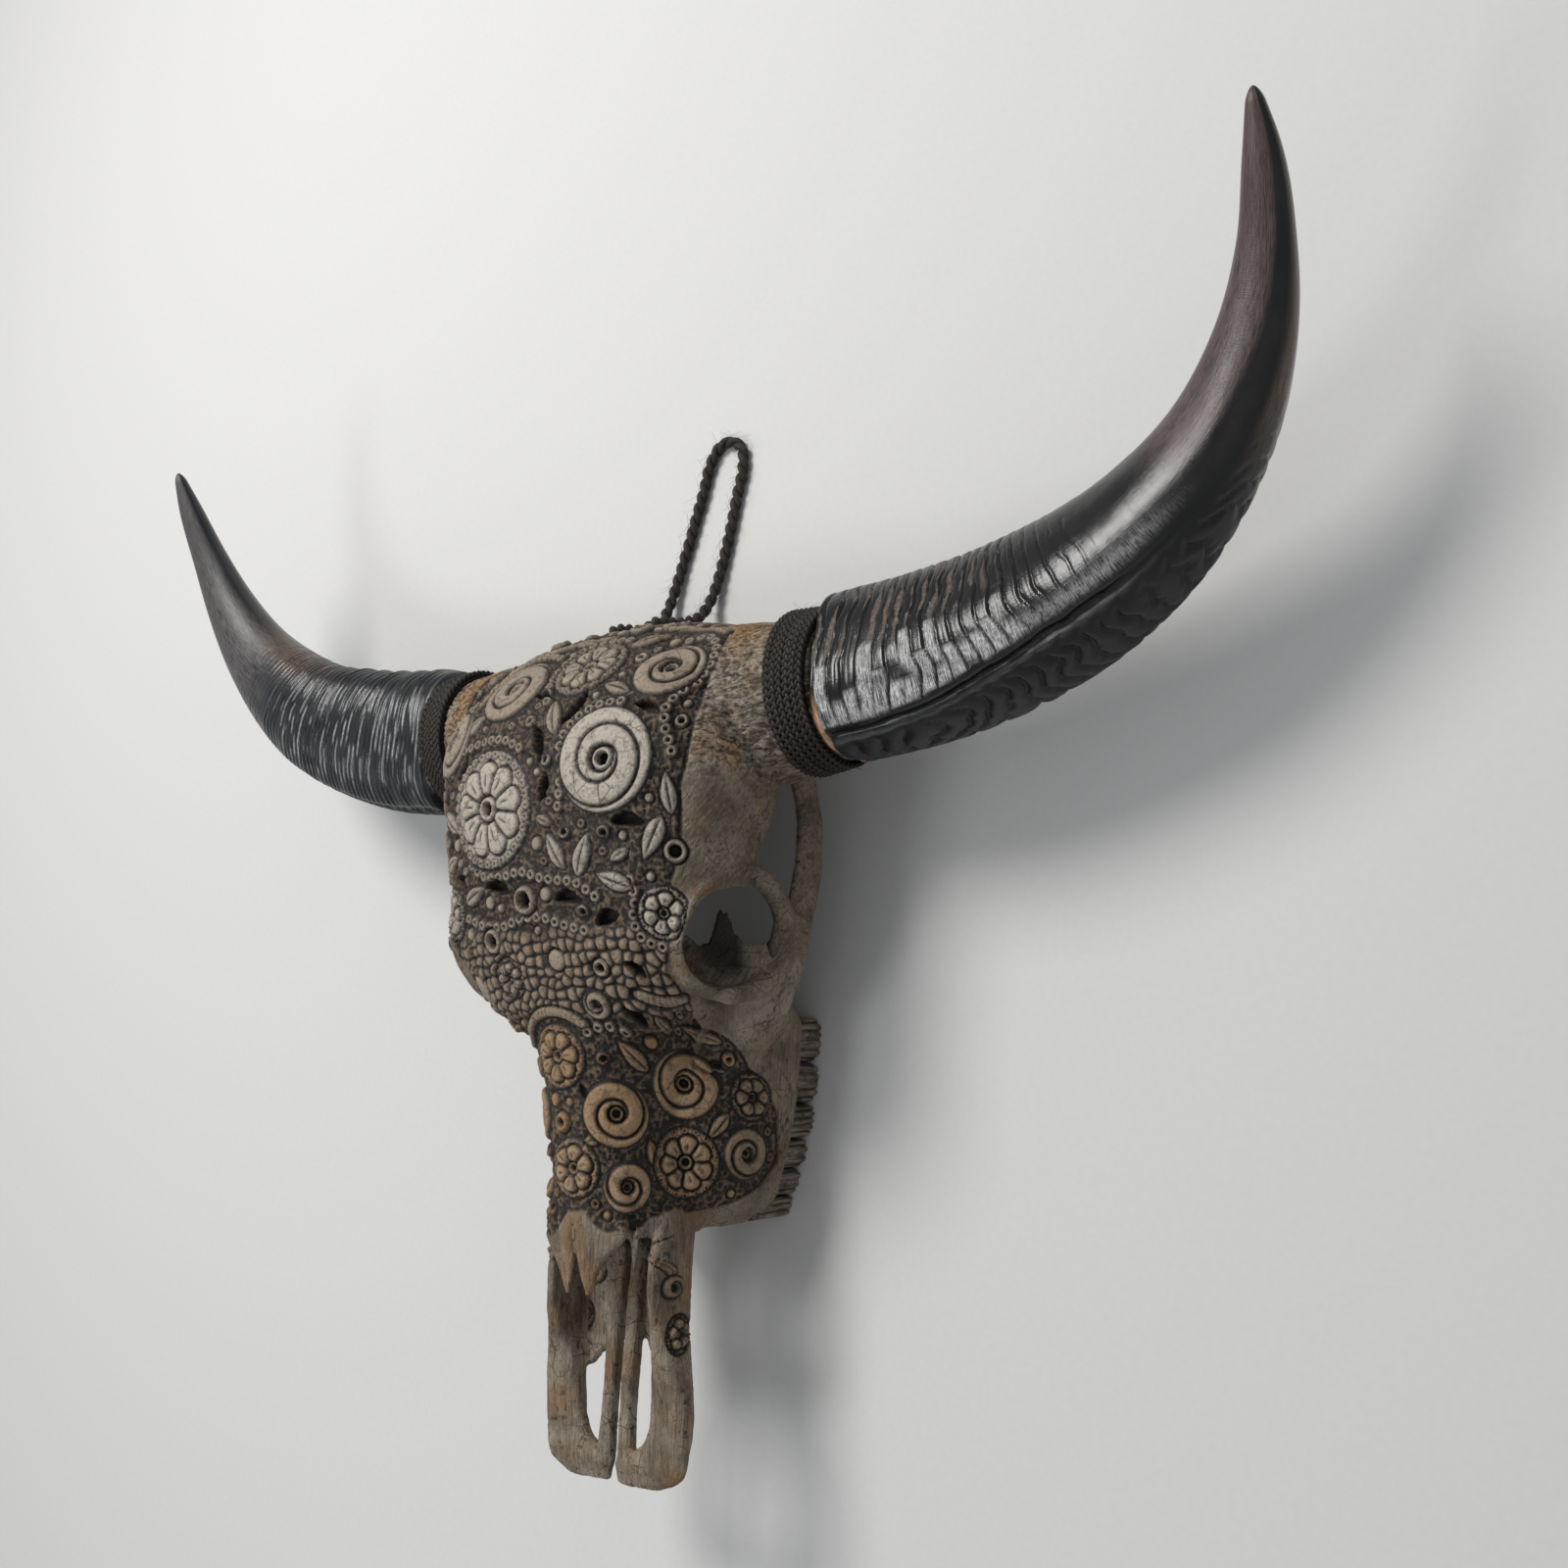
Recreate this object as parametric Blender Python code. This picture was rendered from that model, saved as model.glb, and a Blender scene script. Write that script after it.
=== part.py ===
"""Carved water buffalo skull with its horns, cord bindings and hanging cord.

Metres, +Z up. The skull lies face up on its cheek teeth and its occiput: +Y runs from
the nose to the crown, and +X is the animal's own left. Lengths along the head are
measured from the nose tip, and the empty "specimen" then carries everything to the
row's origin, under the middle of the bounding box.
"""

import math

import bpy
import numpy as np

# Driving dimensions
HEAD_LENGTH = 0.492       # nose tip to crown
ORIGIN_FROM_NOSE = 0.3327  # middle of the bounding box, measured from the nose tip
GAP = 0.0003              # clearance between pieces that touch
BONE_VOXEL = 0.0024       # grain at which the bone's shapes are fused
BONE_SHARE = 0.027        # share of the fused triangles that is kept

# Cheek teeth: six on each side, from the front premolar to the last molar
TOOTH_ROW = (0.139, 0.258)
TOOTH_NAMES = ("premolar_2", "premolar_3", "premolar_4", "molar_1", "molar_2", "molar_3")
TOOTH_SHARES = (0.115, 0.135, 0.145, 0.175, 0.205, 0.225)
TOOTH_ROOT_TOP = 0.030

# Horns: centre line of the left one (x, from nose, z) and half widths towards the nose
# and through the face of the horn
HORN_LINE = (
    (0.157, 0.4372, 0.0860),
    (0.206, 0.4430, 0.0850),
    (0.255, 0.4545, 0.0835),
    (0.300, 0.4710, 0.0850),
    (0.340, 0.4960, 0.0880),
    (0.372, 0.5270, 0.0950),
    (0.394, 0.5640, 0.1060),
    (0.406, 0.6020, 0.1200),
    (0.411, 0.6360, 0.1350),
    (0.412, 0.6620, 0.1470),
)
HORN_HALF_WIDTHS = (0.0475, 0.0465, 0.0440, 0.0400, 0.0340, 0.0265, 0.0195, 0.0135, 0.0090, 0.0030)
HORN_HALF_DEPTHS = (0.0400, 0.0385, 0.0370, 0.0340, 0.0295, 0.0235, 0.0175, 0.0120, 0.0080, 0.0030)
HORN_CORNER = 22
HORN_BASE = 0.1552

# Horn cores: centre line (x, from nose, z) and half widths towards the crown and upwards
CORE_LINE = ((0.060, 0.428, 0.092), (0.100, 0.432, 0.089), (0.128, 0.435, 0.087), (0.1512, 0.4366, 0.0861))
CORE_HALF_WIDTHS = (0.0520, 0.0470, 0.0420, 0.0395)
CORE_HALF_HEIGHTS = (0.0520, 0.0460, 0.0395, 0.0365)

# Cord bindings round the horn bases, and the hanging cord
BINDING = (0.127, 0.1535)
BINDING_ROOM = 0.0017
BINDING_THICKNESS = 0.0043
CORD_RADIUS = 0.0036
CORD_HOLE_RADIUS = 0.0042
CORD_ROUTE = (
    (-0.0440, 0.4740, 0.0660),
    (-0.0440, 0.4820, 0.0660),
    (-0.0440, 0.4900, 0.0660),
    (-0.0440, 0.4960, 0.0660),
    (-0.0442, 0.5015, 0.0620),
    (-0.0445, 0.5050, 0.0530),
    (-0.0448, 0.5068, 0.0410),
    (-0.0452, 0.5100, 0.0280),
    (-0.0455, 0.5165, 0.0155),
    (-0.0445, 0.5300, 0.0075),
    (-0.0390, 0.5490, 0.0048),
    (-0.0292, 0.5760, 0.0041),
    (-0.0188, 0.6045, 0.0041),
    (-0.0107, 0.6266, 0.0041),
    (-0.0037, 0.6342, 0.0041),
    (0.0066, 0.6347, 0.0041),
    (0.0142, 0.6277, 0.0041),
    (0.0151, 0.6187, 0.0041),
    (0.0098, 0.5960, 0.0041),
    (0.0030, 0.5690, 0.0041),
    (-0.0035, 0.5460, 0.0048),
    (-0.0085, 0.5290, 0.0075),
    (-0.0110, 0.5165, 0.0155),
    (-0.0116, 0.5100, 0.0280),
    (-0.0118, 0.5068, 0.0410),
    (-0.0119, 0.5050, 0.0530),
    (-0.0120, 0.5015, 0.0620),
    (-0.0120, 0.4960, 0.0660),
    (-0.0120, 0.4900, 0.0660),
    (-0.0120, 0.4820, 0.0660),
    (-0.0120, 0.4740, 0.0660),
)


def curved(table, at):
    """The columns of a table after its first, at these values of the first, on a smooth curve through its rows."""
    table = np.array(table, float)
    at = np.atleast_1d(np.asarray(at, float))
    key, value = table[:, 0], table[:, 1:]
    slope = np.gradient(value, key, axis=0)
    low = np.clip(np.searchsorted(key, at, side="right") - 1, 0, len(key) - 2)
    span = (key[low + 1] - key[low])[:, None]
    t = ((at - key[low])[:, None]) / span
    rise = (2 * t**3 - 3 * t**2 + 1) * value[low] + (3 * t**2 - 2 * t**3) * value[low + 1]
    lean = (t**3 - 2 * t**2 + t) * slope[low] + (t**3 - t**2) * slope[low + 1]
    return rise + lean * span


def along(points, count):
    """This many points, evenly spaced in length, on a smooth curve through the given ones."""
    points = np.array(points, float)
    chord = np.linalg.norm(np.diff(points[:, :3], axis=0), axis=1)
    table = np.column_stack([np.concatenate([[0], np.cumsum(chord)]), points])
    fine = curved(table, np.linspace(0, table[-1, 0], 40 * len(points)))
    run = np.concatenate([[0], np.cumsum(np.linalg.norm(np.diff(fine[:, :3], axis=0), axis=1))])
    even = np.linspace(0, run[-1], count)
    return np.column_stack([np.interp(even, run, fine[:, i]) for i in range(fine.shape[1])])


def oval(sides, power):
    """Cosines and sines round a superellipse of this power, 2 for an ellipse and more for a boxier one."""
    turn = np.linspace(0, 2 * math.pi, sides, endpoint=False)
    ease = 2 / power
    return (
        np.sign(np.cos(turn)) * np.abs(np.cos(turn)) ** ease,
        np.sign(np.sin(turn)) * np.abs(np.sin(turn)) ** ease,
    )


def unit(vectors):
    return vectors / np.linalg.norm(vectors, axis=-1, keepdims=True)


def lofted(rings, closed=False):
    """Points and faces of a skin over rings of points, capped at both ends unless the rings close on themselves."""
    rings = np.asarray(rings, float)
    count, sides = rings.shape[:2]
    faces = []
    for i in range(count if closed else count - 1):
        here, there = i * sides, (i + 1) % count * sides
        for j in range(sides):
            k = (j + 1) % sides
            faces.append((here + j, here + k, there + k, there + j))
    if not closed:
        faces.append(tuple(reversed(range(sides))))
        faces.append(tuple(range((count - 1) * sides, count * sides)))
    return rings.reshape(-1, 3), faces


def swept(path, widths, heights, up=(0, 0, 1), sides=14, power=2.0, count=16, closed=False):
    """A bar along a path: half widths to its side and half heights towards up, each eased from row to row."""
    rows = np.column_stack([np.array(path, float), widths, heights])
    if closed:
        rows = along(np.vstack([rows, rows[:1]]), count + 1)[:-1]
        ahead = np.roll(rows, -1, axis=0)[:, :3] - np.roll(rows, 1, axis=0)[:, :3]
    else:
        rows = along(rows, count)
        ahead = np.gradient(rows[:, :3], axis=0)
    ahead = unit(ahead)
    side = unit(np.cross(ahead, np.broadcast_to(np.array(up, float), ahead.shape)))
    top = np.cross(side, ahead)
    c, s = oval(sides, power)
    rings = (
        rows[:, None, :3]
        + side[:, None] * (rows[:, 3, None] * c)[..., None]
        + top[:, None] * (rows[:, 4, None] * s)[..., None]
    )
    return lofted(rings, closed)


def egg(centre, radii, rings=10, sides=16):
    """An ellipsoid with its axes along X, Y and Z."""
    turn = np.linspace(0, math.pi, rings + 2)[1:-1]
    c, s = oval(sides, 2)
    shape = np.stack(
        [
            np.outer(np.sin(turn), c),
            np.broadcast_to(np.cos(turn)[:, None], (rings, sides)),
            np.outer(np.sin(turn), s),
        ],
        axis=-1,
    )
    return lofted(np.array(centre) + shape * np.array(radii))


def body(stations, count, sides=36):
    """A body on the midline: half width, its level, top, bottom and power at stations from the nose."""
    lengths = np.linspace(stations[0][0], stations[-1][0], count)
    rings = []
    for y, (wide, level, top, bottom, power) in zip(lengths, curved(stations, lengths)):
        c, s = oval(sides, power)
        z = level + np.where(s > 0, top - level, level - bottom) * s
        rings.append(np.column_stack([wide * c, np.full(sides, y), z]))
    return lofted(rings)


def slab(stations, count, sides=14, power=2.6):
    """A bar beside the midline: x, z, half width, half height and outward slope at stations from the nose."""
    lengths = np.linspace(stations[0][0], stations[-1][0], count)
    c, s = oval(sides, power)
    rings = []
    for y, (x, z, wide, high, slope) in zip(lengths, curved(stations, lengths)):
        rings.append(np.column_stack([x + wide * c, np.full(sides, y), z + high * s + slope * wide * c]))
    return lofted(rings)


def block(low, high):
    """A box between two corners."""
    (a, b, c), (d, e, f) = low, high
    ring = [(a, b), (d, b), (d, e), (a, e)]
    return lofted([[(x, y, c) for x, y in ring], [(x, y, f) for x, y in ring]])


def mirrored(shape):
    points, faces = shape
    return points * np.array([-1, 1, 1]), [tuple(reversed(face)) for face in faces]


def pair(shape):
    return [shape, mirrored(shape)]


def add(name, shape, parent, material=None):
    points, faces = shape
    mesh = bpy.data.meshes.new(name)
    mesh.from_pydata([tuple(p) for p in points], [], faces)
    obj = bpy.data.objects.new(name, mesh)
    bpy.context.scene.collection.objects.link(obj)
    obj.parent = parent
    if volume_of(mesh) < 0:
        mesh.flip_normals()
    if material:
        mesh.materials.append(material)
        mesh.shade_smooth()
    return obj


def volume_of(mesh):
    mesh.calc_loop_triangles()
    return sum(
        mesh.vertices[a].co.dot(mesh.vertices[b].co.cross(mesh.vertices[c].co))
        for a, b, c in (t.vertices for t in mesh.loop_triangles)
    )


def helpers(name, shapes, parent):
    """Shapes that only add to another piece or cut it."""
    made = [add(f"{name} {i}", shape, parent) for i, shape in enumerate(shapes)]
    for obj in made:
        obj.hide_render = True
        obj.display_type = "WIRE"
    return made


def combine(target, operation, others):
    for other in others:
        modifier = target.modifiers.new(f"{operation.lower()} {other.name}", "BOOLEAN")
        modifier.operation = operation
        modifier.object = other
        modifier.solver = "EXACT"


def finish(name, colour, roughness):
    material = bpy.data.materials.new(name)
    material.use_nodes = True
    shader = material.node_tree.nodes["Principled BSDF"]
    shader.inputs["Base Color"].default_value = (*colour, 1)
    shader.inputs["Roughness"].default_value = roughness
    shader.inputs["Metallic"].default_value = 0
    return material


def bone_shapes():
    """Everything that is bone, as overlapping shapes that grow into one."""
    nose = body(
        (
            (0.137, 0.0385, 0.075, 0.1325, 0.060, 2.4),
            (0.160, 0.0410, 0.070, 0.1355, 0.050, 2.3),
            (0.190, 0.0430, 0.070, 0.1390, 0.045, 2.2),
            (0.225, 0.0480, 0.072, 0.1440, 0.045, 2.1),
            (0.250, 0.0600, 0.078, 0.1490, 0.048, 2.1),
            (0.272, 0.0740, 0.090, 0.1560, 0.062, 2.2),
            (0.290, 0.0700, 0.110, 0.1600, 0.085, 2.3),
        ),
        20,
    )
    maxilla = body(
        (
            (0.139, 0.0440, 0.042, 0.085, 0.024, 2.6),
            (0.150, 0.0570, 0.035, 0.095, 0.014, 2.8),
            (0.170, 0.0650, 0.032, 0.100, 0.012, 2.6),
            (0.205, 0.0735, 0.030, 0.105, 0.012, 2.5),
            (0.240, 0.0775, 0.030, 0.108, 0.012, 2.4),
            (0.258, 0.0790, 0.034, 0.108, 0.014, 2.4),
            (0.270, 0.0740, 0.045, 0.105, 0.026, 2.4),
            (0.285, 0.0600, 0.070, 0.110, 0.050, 2.3),
        ),
        20,
    )
    forehead = body(
        (
            (0.250, 0.0580, 0.115, 0.146, 0.095, 2.2),
            (0.270, 0.0780, 0.120, 0.155, 0.097, 2.3),
            (0.295, 0.0940, 0.122, 0.163, 0.094, 2.5),
            (0.325, 0.1000, 0.116, 0.170, 0.088, 2.6),
            (0.360, 0.1070, 0.104, 0.174, 0.078, 2.7),
            (0.395, 0.1140, 0.098, 0.175, 0.066, 2.8),
            (0.425, 0.1120, 0.092, 0.169, 0.052, 2.8),
            (0.453, 0.1000, 0.084, 0.150, 0.040, 2.7),
            (0.475, 0.0840, 0.076, 0.126, 0.036, 2.5),
            (0.488, 0.0580, 0.070, 0.100, 0.044, 2.3),
            (HEAD_LENGTH, 0.0300, 0.068, 0.082, 0.056, 2.2),
        ),
        26,
    )
    braincase = body(
        (
            (0.262, 0.026, 0.088, 0.120, 0.060, 2.2),
            (0.310, 0.030, 0.088, 0.120, 0.058, 2.2),
            (0.360, 0.040, 0.084, 0.120, 0.050, 2.2),
            (0.410, 0.060, 0.075, 0.120, 0.038, 2.2),
            (0.450, 0.074, 0.070, 0.110, 0.028, 2.3),
            (0.478, 0.060, 0.062, 0.090, 0.026, 2.3),
        ),
        14,
        24,
    )
    orbit_rim = swept(
        (
            (0.0870, 0.2700, 0.106),
            (0.0790, 0.2780, 0.130),
            (0.0830, 0.3020, 0.144),
            (0.0915, 0.3270, 0.134),
            (0.0985, 0.3370, 0.110),
            (0.1000, 0.3270, 0.084),
            (0.0980, 0.3000, 0.070),
            (0.0930, 0.2770, 0.081),
        ),
        (0.0060, 0.0060, 0.0065, 0.0060, 0.0050, 0.0060, 0.0070, 0.0070),
        (0.0080, 0.0090, 0.0090, 0.0080, 0.0060, 0.0080, 0.0100, 0.0090),
        up=(0.85, -0.1, 0.5),
        count=24,
        sides=10,
        closed=True,
    )
    cheek = swept(
        ((0.055, 0.235, 0.070), (0.074, 0.260, 0.072), (0.089, 0.286, 0.066), (0.097, 0.314, 0.056)),
        (0.016, 0.018, 0.014, 0.008),
        (0.026, 0.026, 0.018, 0.013),
        count=10,
    )
    arch = swept(
        (
            (0.0900, 0.288, 0.062),
            (0.0970, 0.320, 0.053),
            (0.0995, 0.355, 0.048),
            (0.0985, 0.385, 0.050),
            (0.0930, 0.415, 0.060),
            (0.0780, 0.440, 0.070),
        ),
        (0.0060, 0.0050, 0.0045, 0.0048, 0.0070, 0.0120),
        (0.0140, 0.0130, 0.0120, 0.0110, 0.0120, 0.0160),
        count=14,
        sides=12,
    )
    horn_core = swept(CORE_LINE, CORE_HALF_WIDTHS, CORE_HALF_HEIGHTS, count=12, sides=26)
    premaxilla = slab(
        (
            (0.0020, 0.0180, 0.0970, 0.0150, 0.0030, 0.0),
            (0.0080, 0.0245, 0.0970, 0.0225, 0.0045, 0.0),
            (0.0150, 0.0270, 0.0965, 0.0250, 0.0055, 0.0),
            (0.0220, 0.0350, 0.0960, 0.0175, 0.0060, 0.0),
            (0.0300, 0.0385, 0.0955, 0.0145, 0.0065, 0.0),
            (0.0450, 0.0400, 0.0950, 0.0135, 0.0075, 0.0),
            (0.0600, 0.0400, 0.0955, 0.0115, 0.0090, 0.0),
            (0.0800, 0.0395, 0.0960, 0.0075, 0.0130, 0.0),
            (0.1000, 0.0385, 0.0965, 0.0050, 0.0165, 0.0),
            (0.1250, 0.0380, 0.0950, 0.0048, 0.0175, 0.0),
            (0.1450, 0.0370, 0.0900, 0.0050, 0.0160, 0.0),
            (0.1650, 0.0360, 0.0860, 0.0050, 0.0140, 0.0),
        ),
        26,
        16,
    )
    palatine_process = slab(
        (
            (0.0120, 0.0080, 0.0960, 0.0055, 0.0045, 0.0),
            (0.0400, 0.0068, 0.0940, 0.0046, 0.0050, 0.0),
            (0.0800, 0.0070, 0.0900, 0.0048, 0.0055, 0.0),
            (0.1300, 0.0075, 0.0830, 0.0065, 0.0060, 0.0),
            (0.1700, 0.0080, 0.0750, 0.0080, 0.0080, 0.0),
        ),
        14,
        10,
    )
    nasal_floor = slab(
        (
            (0.0600, 0.0300, 0.0880, 0.0040, 0.0030, 0.0),
            (0.0720, 0.0260, 0.0860, 0.0105, 0.0034, 0.1),
            (0.0860, 0.0230, 0.0840, 0.0160, 0.0038, 0.1),
            (0.1200, 0.0220, 0.0800, 0.0180, 0.0045, 0.1),
            (0.1600, 0.0220, 0.0740, 0.0190, 0.0070, 0.0),
            (0.2000, 0.0220, 0.0680, 0.0200, 0.0090, 0.0),
        ),
        14,
        12,
    )
    nasal = slab(
        (
            (0.1060, 0.0075, 0.1290, 0.0012, 0.0014, 0.0),
            (0.1120, 0.0078, 0.1290, 0.0035, 0.0022, -0.10),
            (0.1200, 0.0086, 0.1292, 0.0064, 0.0028, -0.12),
            (0.1280, 0.0110, 0.1290, 0.0104, 0.0034, -0.16),
            (0.1370, 0.0145, 0.1280, 0.0150, 0.0040, -0.25),
            (0.1550, 0.0150, 0.1270, 0.0150, 0.0045, -0.30),
            (0.1700, 0.0150, 0.1250, 0.0140, 0.0045, -0.30),
        ),
        18,
        12,
    )
    palatine_plate = swept(
        ((0.0300, 0.240, 0.050), (0.0290, 0.270, 0.054), (0.0270, 0.300, 0.062), (0.0250, 0.325, 0.070)),
        (0.0050, 0.0028, 0.0024, 0.0024),
        (0.0280, 0.0220, 0.0150, 0.0080),
        count=10,
        sides=12,
    )
    condyle = egg((0.0270, 0.470, 0.0260), (0.0190, 0.0200, 0.0235))
    jugular_process = swept(
        ((0.060, 0.440, 0.060), (0.061, 0.445, 0.035), (0.058, 0.450, 0.012), (0.057, 0.452, -0.003)),
        (0.012, 0.010, 0.008, 0.005),
        (0.016, 0.012, 0.009, 0.006),
        up=(0, 1, 0),
        count=10,
        sides=12,
    )
    shapes = [nose, maxilla, forehead, braincase]
    for shape in (
        orbit_rim,
        cheek,
        arch,
        horn_core,
        premaxilla,
        palatine_process,
        nasal_floor,
        nasal,
        palatine_plate,
        condyle,
        jugular_process,
    ):
        shapes += pair(shape)
    return shapes


def bone_hollows():
    """The openings in the bone, as shapes that are cut from it."""
    orbit = swept(
        ((0.132, 0.289, 0.148), (0.095, 0.300, 0.116), (0.078, 0.304, 0.100), (0.055, 0.312, 0.076), (0.030, 0.318, 0.048)),
        (0.0300, 0.0275, 0.0300, 0.0280, 0.0220),
        (0.0300, 0.0275, 0.0290, 0.0260, 0.0200),
        up=(0, 1, 0),
        count=12,
        sides=20,
    )
    nasal_cavity = body(
        (
            (0.120, 0.030, 0.104, 0.1235, 0.090, 2.6),
            (0.140, 0.0315, 0.102, 0.1240, 0.086, 2.4),
            (0.165, 0.0290, 0.100, 0.1240, 0.082, 2.2),
            (0.200, 0.0240, 0.098, 0.1200, 0.080, 2.0),
            (0.225, 0.0150, 0.096, 0.1100, 0.084, 2.0),
        ),
        14,
        24,
    )
    palate_vault = body(
        (
            (0.130, 0.0250, 0.010, 0.050, -0.010, 2.4),
            (0.150, 0.0290, 0.010, 0.048, -0.010, 2.4),
            (0.190, 0.0370, 0.010, 0.049, -0.010, 2.4),
            (0.250, 0.0430, 0.010, 0.054, -0.010, 2.4),
            (0.300, 0.0430, 0.010, 0.058, -0.010, 2.4),
        ),
        12,
        24,
    )
    throat = swept(
        ((0, 0.330, 0.040), (0, 0.290, 0.058), (0, 0.255, 0.070), (0, 0.225, 0.088)),
        (0.022, 0.020, 0.018, 0.014),
        (0.014, 0.014, 0.012, 0.010),
        count=10,
    )
    foramen = swept(
        ((0, 0.520, 0.044), (0, 0.490, 0.046), (0, 0.450, 0.054), (0, 0.420, 0.064)),
        (0.017, 0.015, 0.017, 0.014),
        (0.015, 0.013, 0.017, 0.014),
        count=10,
    )
    underneath = block((-0.2, 0.0, -0.03), (0.2, 0.52, 0.0))
    return [nasal_cavity, palate_vault, throat, foramen, *pair(orbit)], [underneath]


def cord_holes():
    """Two blind holes in the back of the crown that take the ends of the hanging cord."""
    holes = []
    for x, y, z in (CORD_ROUTE[0], CORD_ROUTE[-1]):
        radii = (CORD_HOLE_RADIUS, CORD_HOLE_RADIUS, CORD_HOLE_RADIUS)
        holes.append(swept(((x, y + 0.05, z), (x, y + 0.02, z), (x, y - 0.0015, z)), radii, radii, count=3, sides=12))
    return holes


def tooth_row_x(y):
    """Distance of the tooth row's middle from the midline: the rows bow outwards."""
    front, back = TOOTH_ROW
    t = (y - front) / (back - front)
    return 0.0410 + 0.0420 * t - 0.0205 * t**2


def tooth_shape(index):
    """A cheek tooth: a rounded block that narrows towards its root, with two ridges on its cheek side."""
    front, back = TOOTH_ROW
    edges = front + (back - front) * np.concatenate([[0], np.cumsum(TOOTH_SHARES)])
    start, end = edges[index] + GAP, edges[index + 1] - GAP
    middle, half = (start + end) / 2, (end - start) / 2
    wide = 0.0080 + 0.0035 * min(index, 3) / 3
    lean = math.atan2(tooth_row_x(end) - tooth_row_x(start), end - start)
    c, s = oval(12, 3.4)
    ridge = 1 + 0.08 * np.cos(2 * math.pi * s) * (c > 0)
    rings = []
    for t in (0.0, 0.4, 1.0):
        x, y = wide * (1 - 0.12 * t) * c * ridge, half * s
        rings.append(
            np.column_stack(
                [
                    tooth_row_x(middle) + x + y * math.tan(lean),
                    middle + y,
                    np.full(12, TOOTH_ROOT_TOP * t),
                ]
            )
        )
    return lofted(rings)


def socket_shape():
    """One trough that takes a whole row of tooth roots."""
    front, back = TOOTH_ROW
    lengths = np.linspace(front - 0.001, back + 0.001, 8)
    path = [(tooth_row_x(y), y, (TOOTH_ROOT_TOP + 0.006) / 2) for y in lengths]
    wide = [0.0080 + 0.0035 * min(t * 5, 3) / 3 + 0.0014 for t in np.linspace(0, 1, 8)]
    high = [(TOOTH_ROOT_TOP - 0.006) / 2 + 0.0015] * 8
    return swept(path, wide, high, power=6.0, count=10, sides=16)


def horn_shape():
    """The left horn: rings of a three-cornered section, one corner at its lower front, with growth rings at its base."""
    rows = along(np.column_stack([HORN_LINE, HORN_HALF_WIDTHS, HORN_HALF_DEPTHS]), 34)
    ahead = unit(np.gradient(rows[:, :3], axis=0))
    face = unit(np.cross(np.cross(ahead, np.array([0.0, 0.0, 1.0])), ahead))
    out = np.cross(ahead, face)
    turn = np.linspace(0, 2 * math.pi, 18, endpoint=False)
    rings = []
    for i, row in enumerate(rows):
        t = i / (len(rows) - 1)
        cornered = 1 + 0.060 * (1 - t) * np.cos(3 * (turn - math.radians(HORN_CORNER)))
        grown = 1 + (0.022 * math.sin(2 * math.pi * 11 * t) * (0.6 - t) if t < 0.55 else 0)
        c, s = np.cos(turn) * cornered * grown, np.sin(turn) * cornered * grown
        rings.append(row[:3] + np.outer(row[3] * c, out[i]) + np.outer(row[4] * s, face[i]))
    rings[0][:, 0] = HORN_BASE
    return lofted(rings)


def binding_shape():
    """The cord wound round the base of the left horn: one closed ring round the horn core."""
    start, end = BINDING
    core = np.column_stack([np.array(CORE_LINE), CORE_HALF_WIDTHS, CORE_HALF_HEIGHTS])
    profile = ((start, 0.0), (start, 0.7), (start + 0.003, 1.0), (end - 0.003, 1.0), (end, 0.7), (end, 0.0))
    rings = []
    for angle in np.linspace(0, 2 * math.pi, 26, endpoint=False):
        ring = []
        for x, share in profile:
            y, z, across, up = curved(core, x)[0]
            room = BINDING_ROOM + share * BINDING_THICKNESS
            ring.append((x, y + (across + room) * math.cos(angle), z + (up + room) * math.sin(angle)))
        rings.append(ring)
    return lofted(rings, closed=True)


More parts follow.
